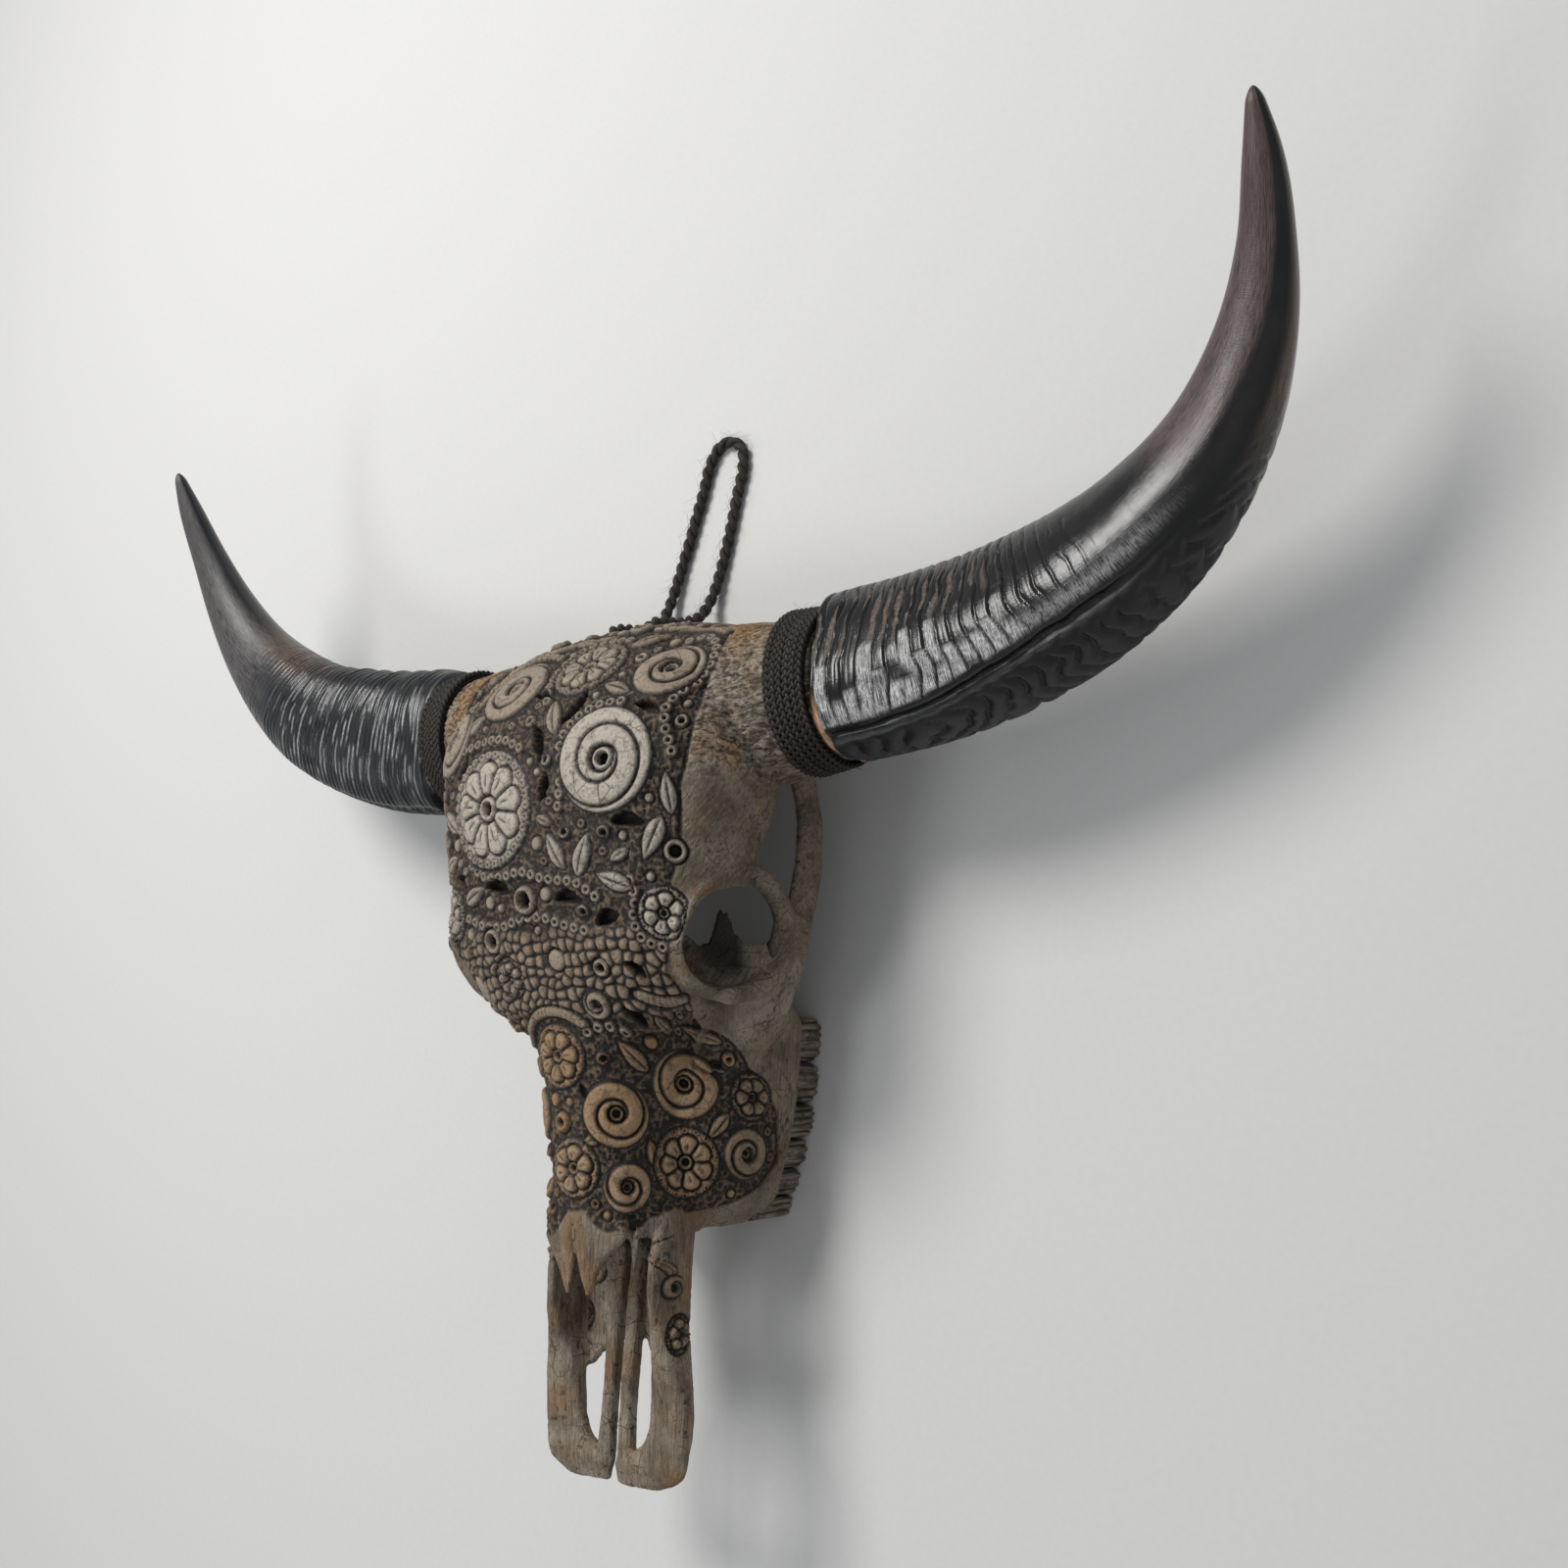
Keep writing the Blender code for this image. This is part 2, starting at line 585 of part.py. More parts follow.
def main():
    for obj in list(bpy.data.objects):
        bpy.data.objects.remove(obj)

    bone = finish("aged bone", (0.24, 0.18, 0.13), 0.75)
    enamel = finish("worn enamel", (0.30, 0.25, 0.18), 0.55)
    keratin = finish("black horn", (0.020, 0.019, 0.018), 0.30)
    fibre = finish("dark palm fibre", (0.025, 0.019, 0.015), 0.85)

    specimen = bpy.data.objects.new("specimen", None)
    specimen.location = (0, -ORIGIN_FROM_NOSE, 0)
    bpy.context.scene.collection.objects.link(specimen)

    first, *others = bone_shapes()
    hollows, flats = bone_hollows()
    skull = add("skull", first, specimen, bone)
    combine(skull, "UNION", helpers("bone", others, specimen))
    combine(skull, "DIFFERENCE", helpers("hollow", hollows, specimen))
    fuse = skull.modifiers.new("fuse", "REMESH")
    fuse.mode = "VOXEL"
    fuse.voxel_size = BONE_VOXEL
    soften = skull.modifiers.new("soften", "SMOOTH")
    soften.factor = 0.5
    soften.iterations = 5
    thin = skull.modifiers.new("thin", "DECIMATE")
    thin.ratio = BONE_SHARE
    combine(skull, "DIFFERENCE", helpers("socket", pair(socket_shape()), specimen))
    combine(skull, "DIFFERENCE", helpers("cord hole", cord_holes(), specimen))
    combine(skull, "DIFFERENCE", helpers("flat", flats, specimen))

    for index, name in enumerate(TOOTH_NAMES):
        for side, shape in zip(("left", "right"), pair(tooth_shape(index))):
            add(f"{side}_{name}", shape, specimen, enamel)

    for side, horn, binding in zip(("left", "right"), pair(horn_shape()), pair(binding_shape())):
        add(f"{side}_horn", horn, specimen, keratin)
        add(f"{side}_horn_binding", binding, specimen, fibre)

    cord = bpy.data.curves.new("hanging_cord", "CURVE")
    cord.dimensions = "3D"
    cord.bevel_depth = CORD_RADIUS
    cord.bevel_resolution = 2
    cord.use_fill_caps = True
    spline = cord.splines.new("POLY")
    route = along(CORD_ROUTE, 56)
    spline.points.add(len(route) - 1)
    for point, place in zip(spline.points, route):
        point.co = (*place, 1)
    cord.materials.append(fibre)
    hanging_cord = bpy.data.objects.new("hanging_cord", cord)
    hanging_cord.parent = specimen
    bpy.context.scene.collection.objects.link(hanging_cord)


main()
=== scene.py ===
"""Carved water buffalo skull, face up: the finished bone, horns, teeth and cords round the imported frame.

Metres, +Z up. +Y runs from the nose to the crown and +X is the animal's own left. Lengths
along the head are measured from the nose tip, and HOME carries them to the row's origin.
"""

import math

import bmesh
import bpy
import numpy as np
from mathutils import Matrix


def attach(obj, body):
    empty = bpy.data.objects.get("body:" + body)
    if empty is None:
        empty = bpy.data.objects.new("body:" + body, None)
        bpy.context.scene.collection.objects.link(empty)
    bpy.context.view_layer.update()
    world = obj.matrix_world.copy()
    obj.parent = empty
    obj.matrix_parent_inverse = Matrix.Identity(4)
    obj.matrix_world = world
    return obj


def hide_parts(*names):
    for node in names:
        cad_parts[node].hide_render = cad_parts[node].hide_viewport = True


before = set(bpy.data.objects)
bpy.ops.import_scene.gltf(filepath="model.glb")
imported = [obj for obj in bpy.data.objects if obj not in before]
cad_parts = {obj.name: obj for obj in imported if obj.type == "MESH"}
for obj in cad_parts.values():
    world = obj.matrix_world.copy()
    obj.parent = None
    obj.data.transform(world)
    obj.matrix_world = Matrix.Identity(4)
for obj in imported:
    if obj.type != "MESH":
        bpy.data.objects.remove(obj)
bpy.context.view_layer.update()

# Head, measured from the nose tip
HEAD_LENGTH = 0.492
ORIGIN_FROM_NOSE = 0.3327
HOME = np.array([0.0, -ORIGIN_FROM_NOSE, 0.0])
MM = 0.001
BONE_GRAIN = 0.00105        # finest detail that the fused bone keeps
BONE_TRIANGLES = 562000
SLIVER = 0.000005           # points closer than this are joined after the bone is thinned
BONE_CUTS = (0.262, 0.1003)  # where the bone is parted: across the head, and then level behind that

# Chart of the head: distance round it from the midline, and distance from the nose
CHART_AXIS = 0.078
CHART_STEP = 0.0004
CHART_SIDE = 0.170
CHART_FRONT = 0.030
CHART_BACK = 0.600

# Cheek teeth
TOOTH_ROW = (0.139, 0.258)
TOOTH_NAMES = ("premolar_2", "premolar_3", "premolar_4", "molar_1", "molar_2", "molar_3")
TOOTH_SHARES = (0.115, 0.135, 0.145, 0.175, 0.205, 0.225)
TOOTH_ROOT_TOP = 0.030

# Horns
HORN_LINE = (
    (0.1496, 0.4366, 0.0861),
    (0.206, 0.4430, 0.0850),
    (0.255, 0.4545, 0.0835),
    (0.300, 0.4710, 0.0850),
    (0.340, 0.4960, 0.0880),
    (0.372, 0.5270, 0.0950),
    (0.394, 0.5640, 0.1060),
    (0.406, 0.6020, 0.1200),
    (0.411, 0.6360, 0.1350),
    (0.412, 0.6620, 0.1470),
)
HORN_HALF_WIDTHS = (0.0475, 0.0465, 0.0440, 0.0400, 0.0340, 0.0265, 0.0195, 0.0135, 0.0090, 0.0030)
HORN_HALF_DEPTHS = (0.0400, 0.0385, 0.0370, 0.0340, 0.0295, 0.0235, 0.0175, 0.0120, 0.0080, 0.0030)

HORN_RINGS = 640
HORN_SIDES = 150
TIP_ROUND = 0.007   # the last of a horn's length, where its tip is rounded off
LIP_DEEP = 0.865    # a sheath's width at its rim, as a share of the full width
LIP_LENGTH = 0.0058

# Horn cores and the cord wound round them
CORE_LINE = ((0.060, 0.428, 0.092), (0.100, 0.432, 0.089), (0.128, 0.435, 0.087), (0.1512, 0.4366, 0.0861))
CORE_HALF_WIDTHS = (0.0520, 0.0470, 0.0420, 0.0395)
CORE_HALF_HEIGHTS = (0.0520, 0.0460, 0.0395, 0.0365)
BINDING = (0.1270, 0.1535)

# Hanging cord
CORD_DIAMETER = 0.0072
CORD_TWIST = 0.0165
# Length and height where each end of the cord leaves the crown and comes down to the surface
CORD_END = (
    (0.4740, 0.0660), (0.4820, 0.0660), (0.4900, 0.0660), (0.4960, 0.0660), (0.5015, 0.0620),
    (0.5050, 0.0530), (0.5068, 0.0410), (0.5100, 0.0280), (0.5165, 0.0155),
)
CORD_START_X = (-0.0440, -0.0440, -0.0440, -0.0440, -0.0442, -0.0445, -0.0448, -0.0452, -0.0455)
CORD_END_X = (-0.0110, -0.0116, -0.0118, -0.0119, -0.0120, -0.0120, -0.0120, -0.0120, -0.0120)
CORD_LOOP = (
    (-0.0445, 0.5300, 0.0075), (-0.0390, 0.5490, 0.0048), (-0.0292, 0.5760, 0.0041),
    (-0.0188, 0.6045, 0.0041), (-0.0107, 0.6266, 0.0041), (-0.0037, 0.6342, 0.0041),
    (0.0066, 0.6347, 0.0041), (0.0142, 0.6277, 0.0041), (0.0151, 0.6187, 0.0041),
    (0.0098, 0.5960, 0.0041), (0.0030, 0.5690, 0.0041), (-0.0035, 0.5460, 0.0048),
    (-0.0085, 0.5290, 0.0075),
)
CORD_ROUTE = (
    *((x, *spot) for x, spot in zip(CORD_START_X, CORD_END)),
    *CORD_LOOP,
    *((x, *spot) for x, spot in zip(CORD_END_X, CORD_END[::-1])),
)

# The photograph's line of sight: the directions back to the camera and to its right
PHOTO_BACK = (0.5909, -0.1507, 0.7926)
PHOTO_RIGHT = (0.8017, 0.0, -0.5978)


def curved(table, at):
    """A table's later columns at these values of its first, on a smooth curve through its rows."""
    table = np.array(table, float)
    at = np.atleast_1d(np.asarray(at, float))
    key, value = table[:, 0], table[:, 1:]
    slope = np.gradient(value, key, axis=0)
    low = np.clip(np.searchsorted(key, at, side="right") - 1, 0, len(key) - 2)
    span = (key[low + 1] - key[low])[:, None]
    t = (at - key[low])[:, None] / span
    rise = (2 * t**3 - 3 * t**2 + 1) * value[low] + (3 * t**2 - 2 * t**3) * value[low + 1]
    lean = (t**3 - 2 * t**2 + t) * slope[low] + (t**3 - t**2) * slope[low + 1]
    return rise + lean * span


def run_of(points):
    """The distance from a path's start to each of its points."""
    return np.concatenate([[0], np.cumsum(np.linalg.norm(np.diff(points, axis=0), axis=1))])


def along(points, count):
    """This many points, evenly spaced in length, on a smooth curve through the given ones."""
    points = np.array(points, float)
    table = np.column_stack([run_of(points[:, :3]), points])
    fine = curved(table, np.linspace(0, table[-1, 0], 40 * len(points)))
    run = run_of(fine[:, :3])
    even = np.linspace(0, run[-1], count)
    return np.column_stack([np.interp(even, run, fine[:, i]) for i in range(fine.shape[1])])


def length_of(points):
    """The length of a path."""
    return float(np.linalg.norm(np.diff(points, axis=0), axis=1).sum())


def unit(vectors):
    """The same directions with a length of one."""
    return vectors / np.maximum(np.linalg.norm(vectors, axis=-1, keepdims=True), 1e-12)


def ease(low, high, x):
    """0 below low, 1 above high, and a smooth step between them."""
    t = np.clip((x - low) / (high - low), 0, 1)
    return t * t * (3 - 2 * t)


def band(low, full, fading, gone, x):
    """0 below low, 1 from full to fading, and 0 again above gone, with smooth steps between."""
    return ease(low, full, x) * (1 - ease(fading, gone, x))


def oval(sides, power):
    """Cosines and sines round a superellipse of this power, 2 for an ellipse and more for a boxier one."""
    turn = np.linspace(0, 2 * math.pi, sides, endpoint=False)
    share = 2 / power
    return (
        np.sign(np.cos(turn)) * np.abs(np.cos(turn)) ** share,
        np.sign(np.sin(turn)) * np.abs(np.sin(turn)) ** share,
    )


def crest(phase, sharpness):
    """1 on every whole number of the phase and 0 half way between them, the sharper the narrower."""
    return (1 - np.abs(np.sin(math.pi * phase))) ** sharpness


def scattered(cells, seed):
    """A number from 0 to 1 for each row of whole numbers, mixed by multiplying and shifting its bits."""
    mixed = np.full(len(cells), seed * 2654435761 + 97, np.uint64)
    for column, factor in zip(cells.T, (73856093, 19349663, 83492791)):
        whole = column.astype(np.int64).astype(np.uint64)
        mixed = (mixed ^ (whole * np.uint64(factor))) * np.uint64(0x9E3779B1)
        mixed ^= mixed >> np.uint64(15)
        mixed &= np.uint64(0xFFFFFFFF)
    return (mixed & np.uint64(0xFFFFFF)).astype(float) / 0xFFFFFF


def grain(points, size, seed=0, octaves=1):
    """Smooth noise from -1 to 1: random values on a lattice of this size, blended.

    Each further octave adds a copy at half the size and half the strength.
    """
    total = np.zeros(len(points))
    reach = 0.0
    for octave in range(octaves):
        place = points / (np.asarray(size) * 0.5**octave)
        cell = np.floor(place)
        t = place - cell
        t = t * t * (3 - 2 * t)
        value = np.zeros(len(points))
        for corner in range(8):
            step = np.array([corner & 1, corner >> 1 & 1, corner >> 2 & 1])
            weight = np.prod(np.where(step, t, 1 - t), axis=1)
            value += weight * scattered(cell + step, seed + octave)
        total += (2 * value - 1) * 0.5**octave
        reach += 0.5**octave
    return total / reach


def skin(rings, closed=False):
    """Points and faces over rings of points, with a point in the middle of each open end."""
    rings = np.asarray(rings, float)
    count, sides = rings.shape[:2]
    row = np.arange(count if closed else count - 1)[:, None]
    side = np.arange(sides)[None, :]
    here, there = row * sides, (row + 1) % count * sides
    beside = (side + 1) % sides
    faces = np.stack([here + side, here + beside, there + beside, there + side], axis=-1)
    faces = faces.reshape(-1, 4).tolist()
    points = rings.reshape(-1, 3)
    if not closed:
        first, last = len(points), len(points) + 1
        end = (count - 1) * sides
        turn = np.arange(sides)
        after = (turn + 1) % sides
        faces += np.column_stack([after, turn, np.full(sides, first)]).tolist()
        faces += np.column_stack([end + turn, end + after, np.full(sides, last)]).tolist()
        points = np.vstack([points, rings[0].mean(0), rings[-1].mean(0)])
    return points, faces


def swept(path, widths, heights, up=(0, 0, 1), sides=28, power=2.0, count=32, closed=False):
    """A bar along a path: half widths to its side and half heights towards up, each eased from row to row."""
    rows = np.column_stack([np.array(path, float), widths, heights])
    if closed:
        rows = along(np.vstack([rows, rows[:1]]), count + 1)[:-1]
        ahead = np.roll(rows, -1, axis=0)[:, :3] - np.roll(rows, 1, axis=0)[:, :3]
    else:
        rows = along(rows, count)
        ahead = np.gradient(rows[:, :3], axis=0)
    ahead = unit(ahead)
    side = unit(np.cross(ahead, np.broadcast_to(np.array(up, float), ahead.shape)))
    top = np.cross(side, ahead)
    c, s = oval(sides, power)
    rings = (
        rows[:, None, :3]
        + side[:, None] * (rows[:, 3, None] * c)[..., None]
        + top[:, None] * (rows[:, 4, None] * s)[..., None]
    )
    return skin(rings, closed)


def egg(centre, radii, rings=20, sides=32):
    """An ellipsoid with its axes along X, Y and Z."""
    turn = np.linspace(0, math.pi, rings + 2)[1:-1]
    c, s = oval(sides, 2)
    along_y = np.broadcast_to(np.cos(turn)[:, None], (rings, sides))
    shape = np.stack([np.outer(np.sin(turn), c), along_y, np.outer(np.sin(turn), s)], axis=-1)
    return skin(np.array(centre) + shape * np.array(radii))


def body(stations, count, sides=72):
    """A body on the midline: half width, its level, top, bottom and power at stations from the nose."""
    lengths = np.linspace(stations[0][0], stations[-1][0], count)
    rings = []
    for y, (wide, level, top, bottom, power) in zip(lengths, curved(stations, lengths)):
        c, s = oval(sides, power)
        z = level + np.where(s > 0, top - level, level - bottom) * s
        rings.append(np.column_stack([wide * c, np.full(sides, y), z]))
    return skin(rings)


def slab(stations, count, sides=28, power=2.6):
    """A bar beside the midline: x, z, half width, half height and outward slope at stations from the nose."""
    lengths = np.linspace(stations[0][0], stations[-1][0], count)
    c, s = oval(sides, power)
    rings = []
    for y, (x, z, wide, high, slope) in zip(lengths, curved(stations, lengths)):
        rings.append(np.column_stack([x + wide * c, np.full(sides, y), z + high * s + slope * wide * c]))
    return skin(rings)


def mirrored(shape):
    """The shape on the other side of the head, with its faces turned outwards again."""
    points, faces = shape
    return points * np.array([-1, 1, 1]), [face[::-1] for face in faces]


def pair(shape):
    """A left shape and its copy on the right."""
    return [shape, mirrored(shape)]


def heap(shapes):
    """All these shapes as one set of points and faces."""
    points, faces, start = [], [], 0
    for places, sides in shapes:
        points.append(places)
        faces += [[start + corner for corner in side] for side in sides]
        start += len(places)
    return np.vstack(points), faces


def placed(name, data):
    """A new object in the scene."""
    obj = bpy.data.objects.new(name, data)
    bpy.context.scene.collection.objects.link(obj)
    return obj


def made(name, shape):
    """A new object from points and faces measured from the nose tip."""
    points, faces = shape
    mesh = bpy.data.meshes.new(name)
    mesh.from_pydata((points + HOME).tolist(), [], faces)
    mesh.update()
    return placed(name, mesh)


def applied(obj):
    """The object with its modifiers turned into its mesh."""
    shape = obj.evaluated_get(bpy.context.evaluated_depsgraph_get())
    mesh = bpy.data.meshes.new_from_object(shape)
    obj.modifiers.clear()
    obj.data = mesh
    return obj


def triples(values, field):
    """Three numbers for each item, such as the place of each point of a mesh."""
    flat = np.empty(3 * len(values), np.float32)
    values.foreach_get(field, flat)
    return flat.reshape(-1, 3)


def corners(mesh):
    """The mesh's points, measured from the nose tip."""
    return triples(mesh.vertices, "co").astype(float) - HOME


def outward(mesh):
    """The mesh's normal at each point."""
    return triples(mesh.vertex_normals, "vector").astype(float)


def keep(mesh, name, values):
    """Stores one number for each point, which materials read by this name."""
    attribute = mesh.attributes.new(name, "FLOAT", "POINT")
    attribute.data.foreach_set("value", values.astype(np.float32))


def midline_bones():
    """The bones that lie across the middle: nose, upper jaw, forehead and braincase."""
    nose = body(
        (
            (0.137, 0.0385, 0.075, 0.1325, 0.060, 2.4),
            (0.160, 0.0410, 0.070, 0.1355, 0.050, 2.3),
            (0.190, 0.0430, 0.070, 0.1390, 0.045, 2.2),
            (0.225, 0.0480, 0.072, 0.1440, 0.045, 2.1),
            (0.250, 0.0600, 0.078, 0.1490, 0.048, 2.1),
            (0.272, 0.0740, 0.090, 0.1560, 0.062, 2.2),
            (0.290, 0.0700, 0.110, 0.1600, 0.085, 2.3),
        ),
        48,
    )
    maxilla = body(
        (
            (0.139, 0.0440, 0.042, 0.085, 0.024, 2.6),
            (0.150, 0.0570, 0.035, 0.095, 0.014, 2.8),
            (0.170, 0.0650, 0.032, 0.100, 0.012, 2.6),
            (0.205, 0.0735, 0.030, 0.105, 0.012, 2.5),
            (0.240, 0.0775, 0.030, 0.108, 0.012, 2.4),
            (0.258, 0.0790, 0.034, 0.108, 0.014, 2.4),
            (0.270, 0.0740, 0.045, 0.105, 0.026, 2.4),
            (0.285, 0.0600, 0.070, 0.110, 0.050, 2.3),
        ),
        48,
    )
    forehead = body(
        (
            (0.250, 0.0580, 0.115, 0.146, 0.095, 2.2),
            (0.270, 0.0780, 0.120, 0.155, 0.097, 2.3),
            (0.295, 0.0940, 0.122, 0.163, 0.094, 2.5),
            (0.325, 0.1000, 0.116, 0.170, 0.088, 2.6),
            (0.360, 0.1070, 0.104, 0.174, 0.078, 2.7),
            (0.395, 0.1140, 0.098, 0.175, 0.066, 2.8),
            (0.425, 0.1120, 0.092, 0.169, 0.052, 2.8),
            (0.453, 0.1000, 0.084, 0.150, 0.040, 2.7),
            (0.475, 0.0840, 0.076, 0.126, 0.036, 2.5),
            (0.488, 0.0580, 0.070, 0.100, 0.044, 2.3),
            (HEAD_LENGTH, 0.0300, 0.068, 0.082, 0.056, 2.2),
        ),
        64,
        96,
    )
    braincase = body(
        (
            (0.262, 0.026, 0.088, 0.120, 0.060, 2.2),
            (0.310, 0.030, 0.088, 0.120, 0.058, 2.2),
            (0.360, 0.040, 0.084, 0.120, 0.050, 2.2),
            (0.410, 0.060, 0.075, 0.120, 0.038, 2.2),
            (0.450, 0.074, 0.070, 0.110, 0.028, 2.3),
            (0.478, 0.060, 0.062, 0.090, 0.026, 2.3),
        ),
        30,
        48,
    )
    return [nose, maxilla, forehead, braincase]


def cheek_bones():
    """The left orbit's rim, the cheek, the arch behind it and the core of the horn."""
    orbit_rim = swept(
        (
            (0.0870, 0.2700, 0.106),
            (0.0790, 0.2780, 0.130),
            (0.0830, 0.3020, 0.144),
            (0.0915, 0.3270, 0.134),
            (0.0985, 0.3370, 0.110),
            (0.1000, 0.3270, 0.084),
            (0.0980, 0.3000, 0.070),
            (0.0930, 0.2770, 0.081),
        ),
        (0.0060, 0.0060, 0.0065, 0.0060, 0.0050, 0.0060, 0.0070, 0.0070),
        (0.0080, 0.0090, 0.0090, 0.0080, 0.0060, 0.0080, 0.0100, 0.0090),
        up=(0.85, -0.1, 0.5),
        count=80,
        sides=24,
        closed=True,
    )
    cheek = swept(
        ((0.055, 0.235, 0.070), (0.074, 0.260, 0.072), (0.089, 0.286, 0.066), (0.097, 0.314, 0.056)),
        (0.016, 0.018, 0.014, 0.008),
        (0.026, 0.026, 0.018, 0.013),
    )
    arch = swept(
        (
            (0.0900, 0.288, 0.062),
            (0.0970, 0.320, 0.053),
            (0.0995, 0.355, 0.048),
            (0.0985, 0.385, 0.050),
            (0.0930, 0.415, 0.060),
            (0.0780, 0.440, 0.070),
        ),
        (0.0060, 0.0050, 0.0045, 0.0048, 0.0070, 0.0120),
        (0.0140, 0.0130, 0.0120, 0.0110, 0.0120, 0.0160),
        count=40,
    )
    horn_core = swept(CORE_LINE, CORE_HALF_WIDTHS, CORE_HALF_HEIGHTS, count=24, sides=64)
    return [orbit_rim, cheek, arch, horn_core]


def front_bones():
    """The left half of the two-pronged front: premaxilla, palate, nasal floor and nasal bone."""
    premaxilla = slab(
        (
            (0.0020, 0.0180, 0.0970, 0.0150, 0.0030, 0.0),
            (0.0080, 0.0245, 0.0970, 0.0225, 0.0045, 0.0),
            (0.0150, 0.0270, 0.0965, 0.0250, 0.0055, 0.0),
            (0.0220, 0.0350, 0.0960, 0.0175, 0.0060, 0.0),
            (0.0300, 0.0385, 0.0955, 0.0145, 0.0065, 0.0),
            (0.0450, 0.0400, 0.0950, 0.0135, 0.0075, 0.0),
            (0.0600, 0.0400, 0.0955, 0.0115, 0.0090, 0.0),
            (0.0800, 0.0395, 0.0960, 0.0075, 0.0130, 0.0),
            (0.1000, 0.0385, 0.0965, 0.0050, 0.0165, 0.0),
            (0.1250, 0.0380, 0.0950, 0.0048, 0.0175, 0.0),
            (0.1450, 0.0370, 0.0900, 0.0050, 0.0160, 0.0),
            (0.1650, 0.0360, 0.0860, 0.0050, 0.0140, 0.0),
        ),
        70,
        32,
    )
    palatine_process = slab(
        (
            (0.0120, 0.0080, 0.0960, 0.0055, 0.0045, 0.0),
            (0.0400, 0.0068, 0.0940, 0.0046, 0.0050, 0.0),
            (0.0800, 0.0070, 0.0900, 0.0048, 0.0055, 0.0),
            (0.1300, 0.0075, 0.0830, 0.0065, 0.0060, 0.0),
            (0.1700, 0.0080, 0.0750, 0.0080, 0.0080, 0.0),
        ),
        40,
        20,
    )
    nasal_floor = slab(
        (
            (0.0600, 0.0300, 0.0880, 0.0040, 0.0030, 0.0),
            (0.0720, 0.0260, 0.0860, 0.0105, 0.0034, 0.1),
            (0.0860, 0.0230, 0.0840, 0.0160, 0.0038, 0.1),
            (0.1200, 0.0220, 0.0800, 0.0180, 0.0045, 0.1),
            (0.1600, 0.0220, 0.0740, 0.0190, 0.0070, 0.0),
            (0.2000, 0.0220, 0.0680, 0.0200, 0.0090, 0.0),
        ),
        40,
        24,
    )
    nasal = slab(
        (
            (0.1060, 0.0075, 0.1290, 0.0012, 0.0014, 0.0),
            (0.1120, 0.0078, 0.1290, 0.0035, 0.0022, -0.10),
            (0.1200, 0.0086, 0.1292, 0.0064, 0.0028, -0.12),
            (0.1280, 0.0110, 0.1290, 0.0104, 0.0034, -0.16),
            (0.1370, 0.0145, 0.1280, 0.0150, 0.0040, -0.25),
            (0.1550, 0.0150, 0.1270, 0.0150, 0.0045, -0.30),
            (0.1700, 0.0150, 0.1250, 0.0140, 0.0045, -0.30),
        ),
        44,
        24,
    )
    return [premaxilla, palatine_process, nasal_floor, nasal]


def base_bones():
    """The left half of the underside: a thin plate of the palate, the neck joint and the process by it."""
    palatine_plate = swept(
        ((0.0300, 0.240, 0.050), (0.0290, 0.270, 0.054), (0.0270, 0.300, 0.062), (0.0250, 0.325, 0.070)),
        (0.0050, 0.0028, 0.0024, 0.0024),
        (0.0280, 0.0220, 0.0150, 0.0080),
        count=24,
    )
    condyle = egg((0.0270, 0.470, 0.0260), (0.0190, 0.0200, 0.0235))
    jugular_process = swept(
        ((0.060, 0.440, 0.060), (0.061, 0.445, 0.035), (0.058, 0.450, 0.012), (0.057, 0.452, -0.003)),
        (0.012, 0.010, 0.008, 0.005),
        (0.016, 0.012, 0.009, 0.006),
        up=(0, 1, 0),
        count=24,
    )
    return [palatine_plate, condyle, jugular_process]


def bone_shapes():
    """Everything that is bone, as overlapping shapes that grow into one."""
    shapes = midline_bones()
    for shape in (*cheek_bones(), *front_bones(), *base_bones()):
        shapes += pair(shape)
    return shapes


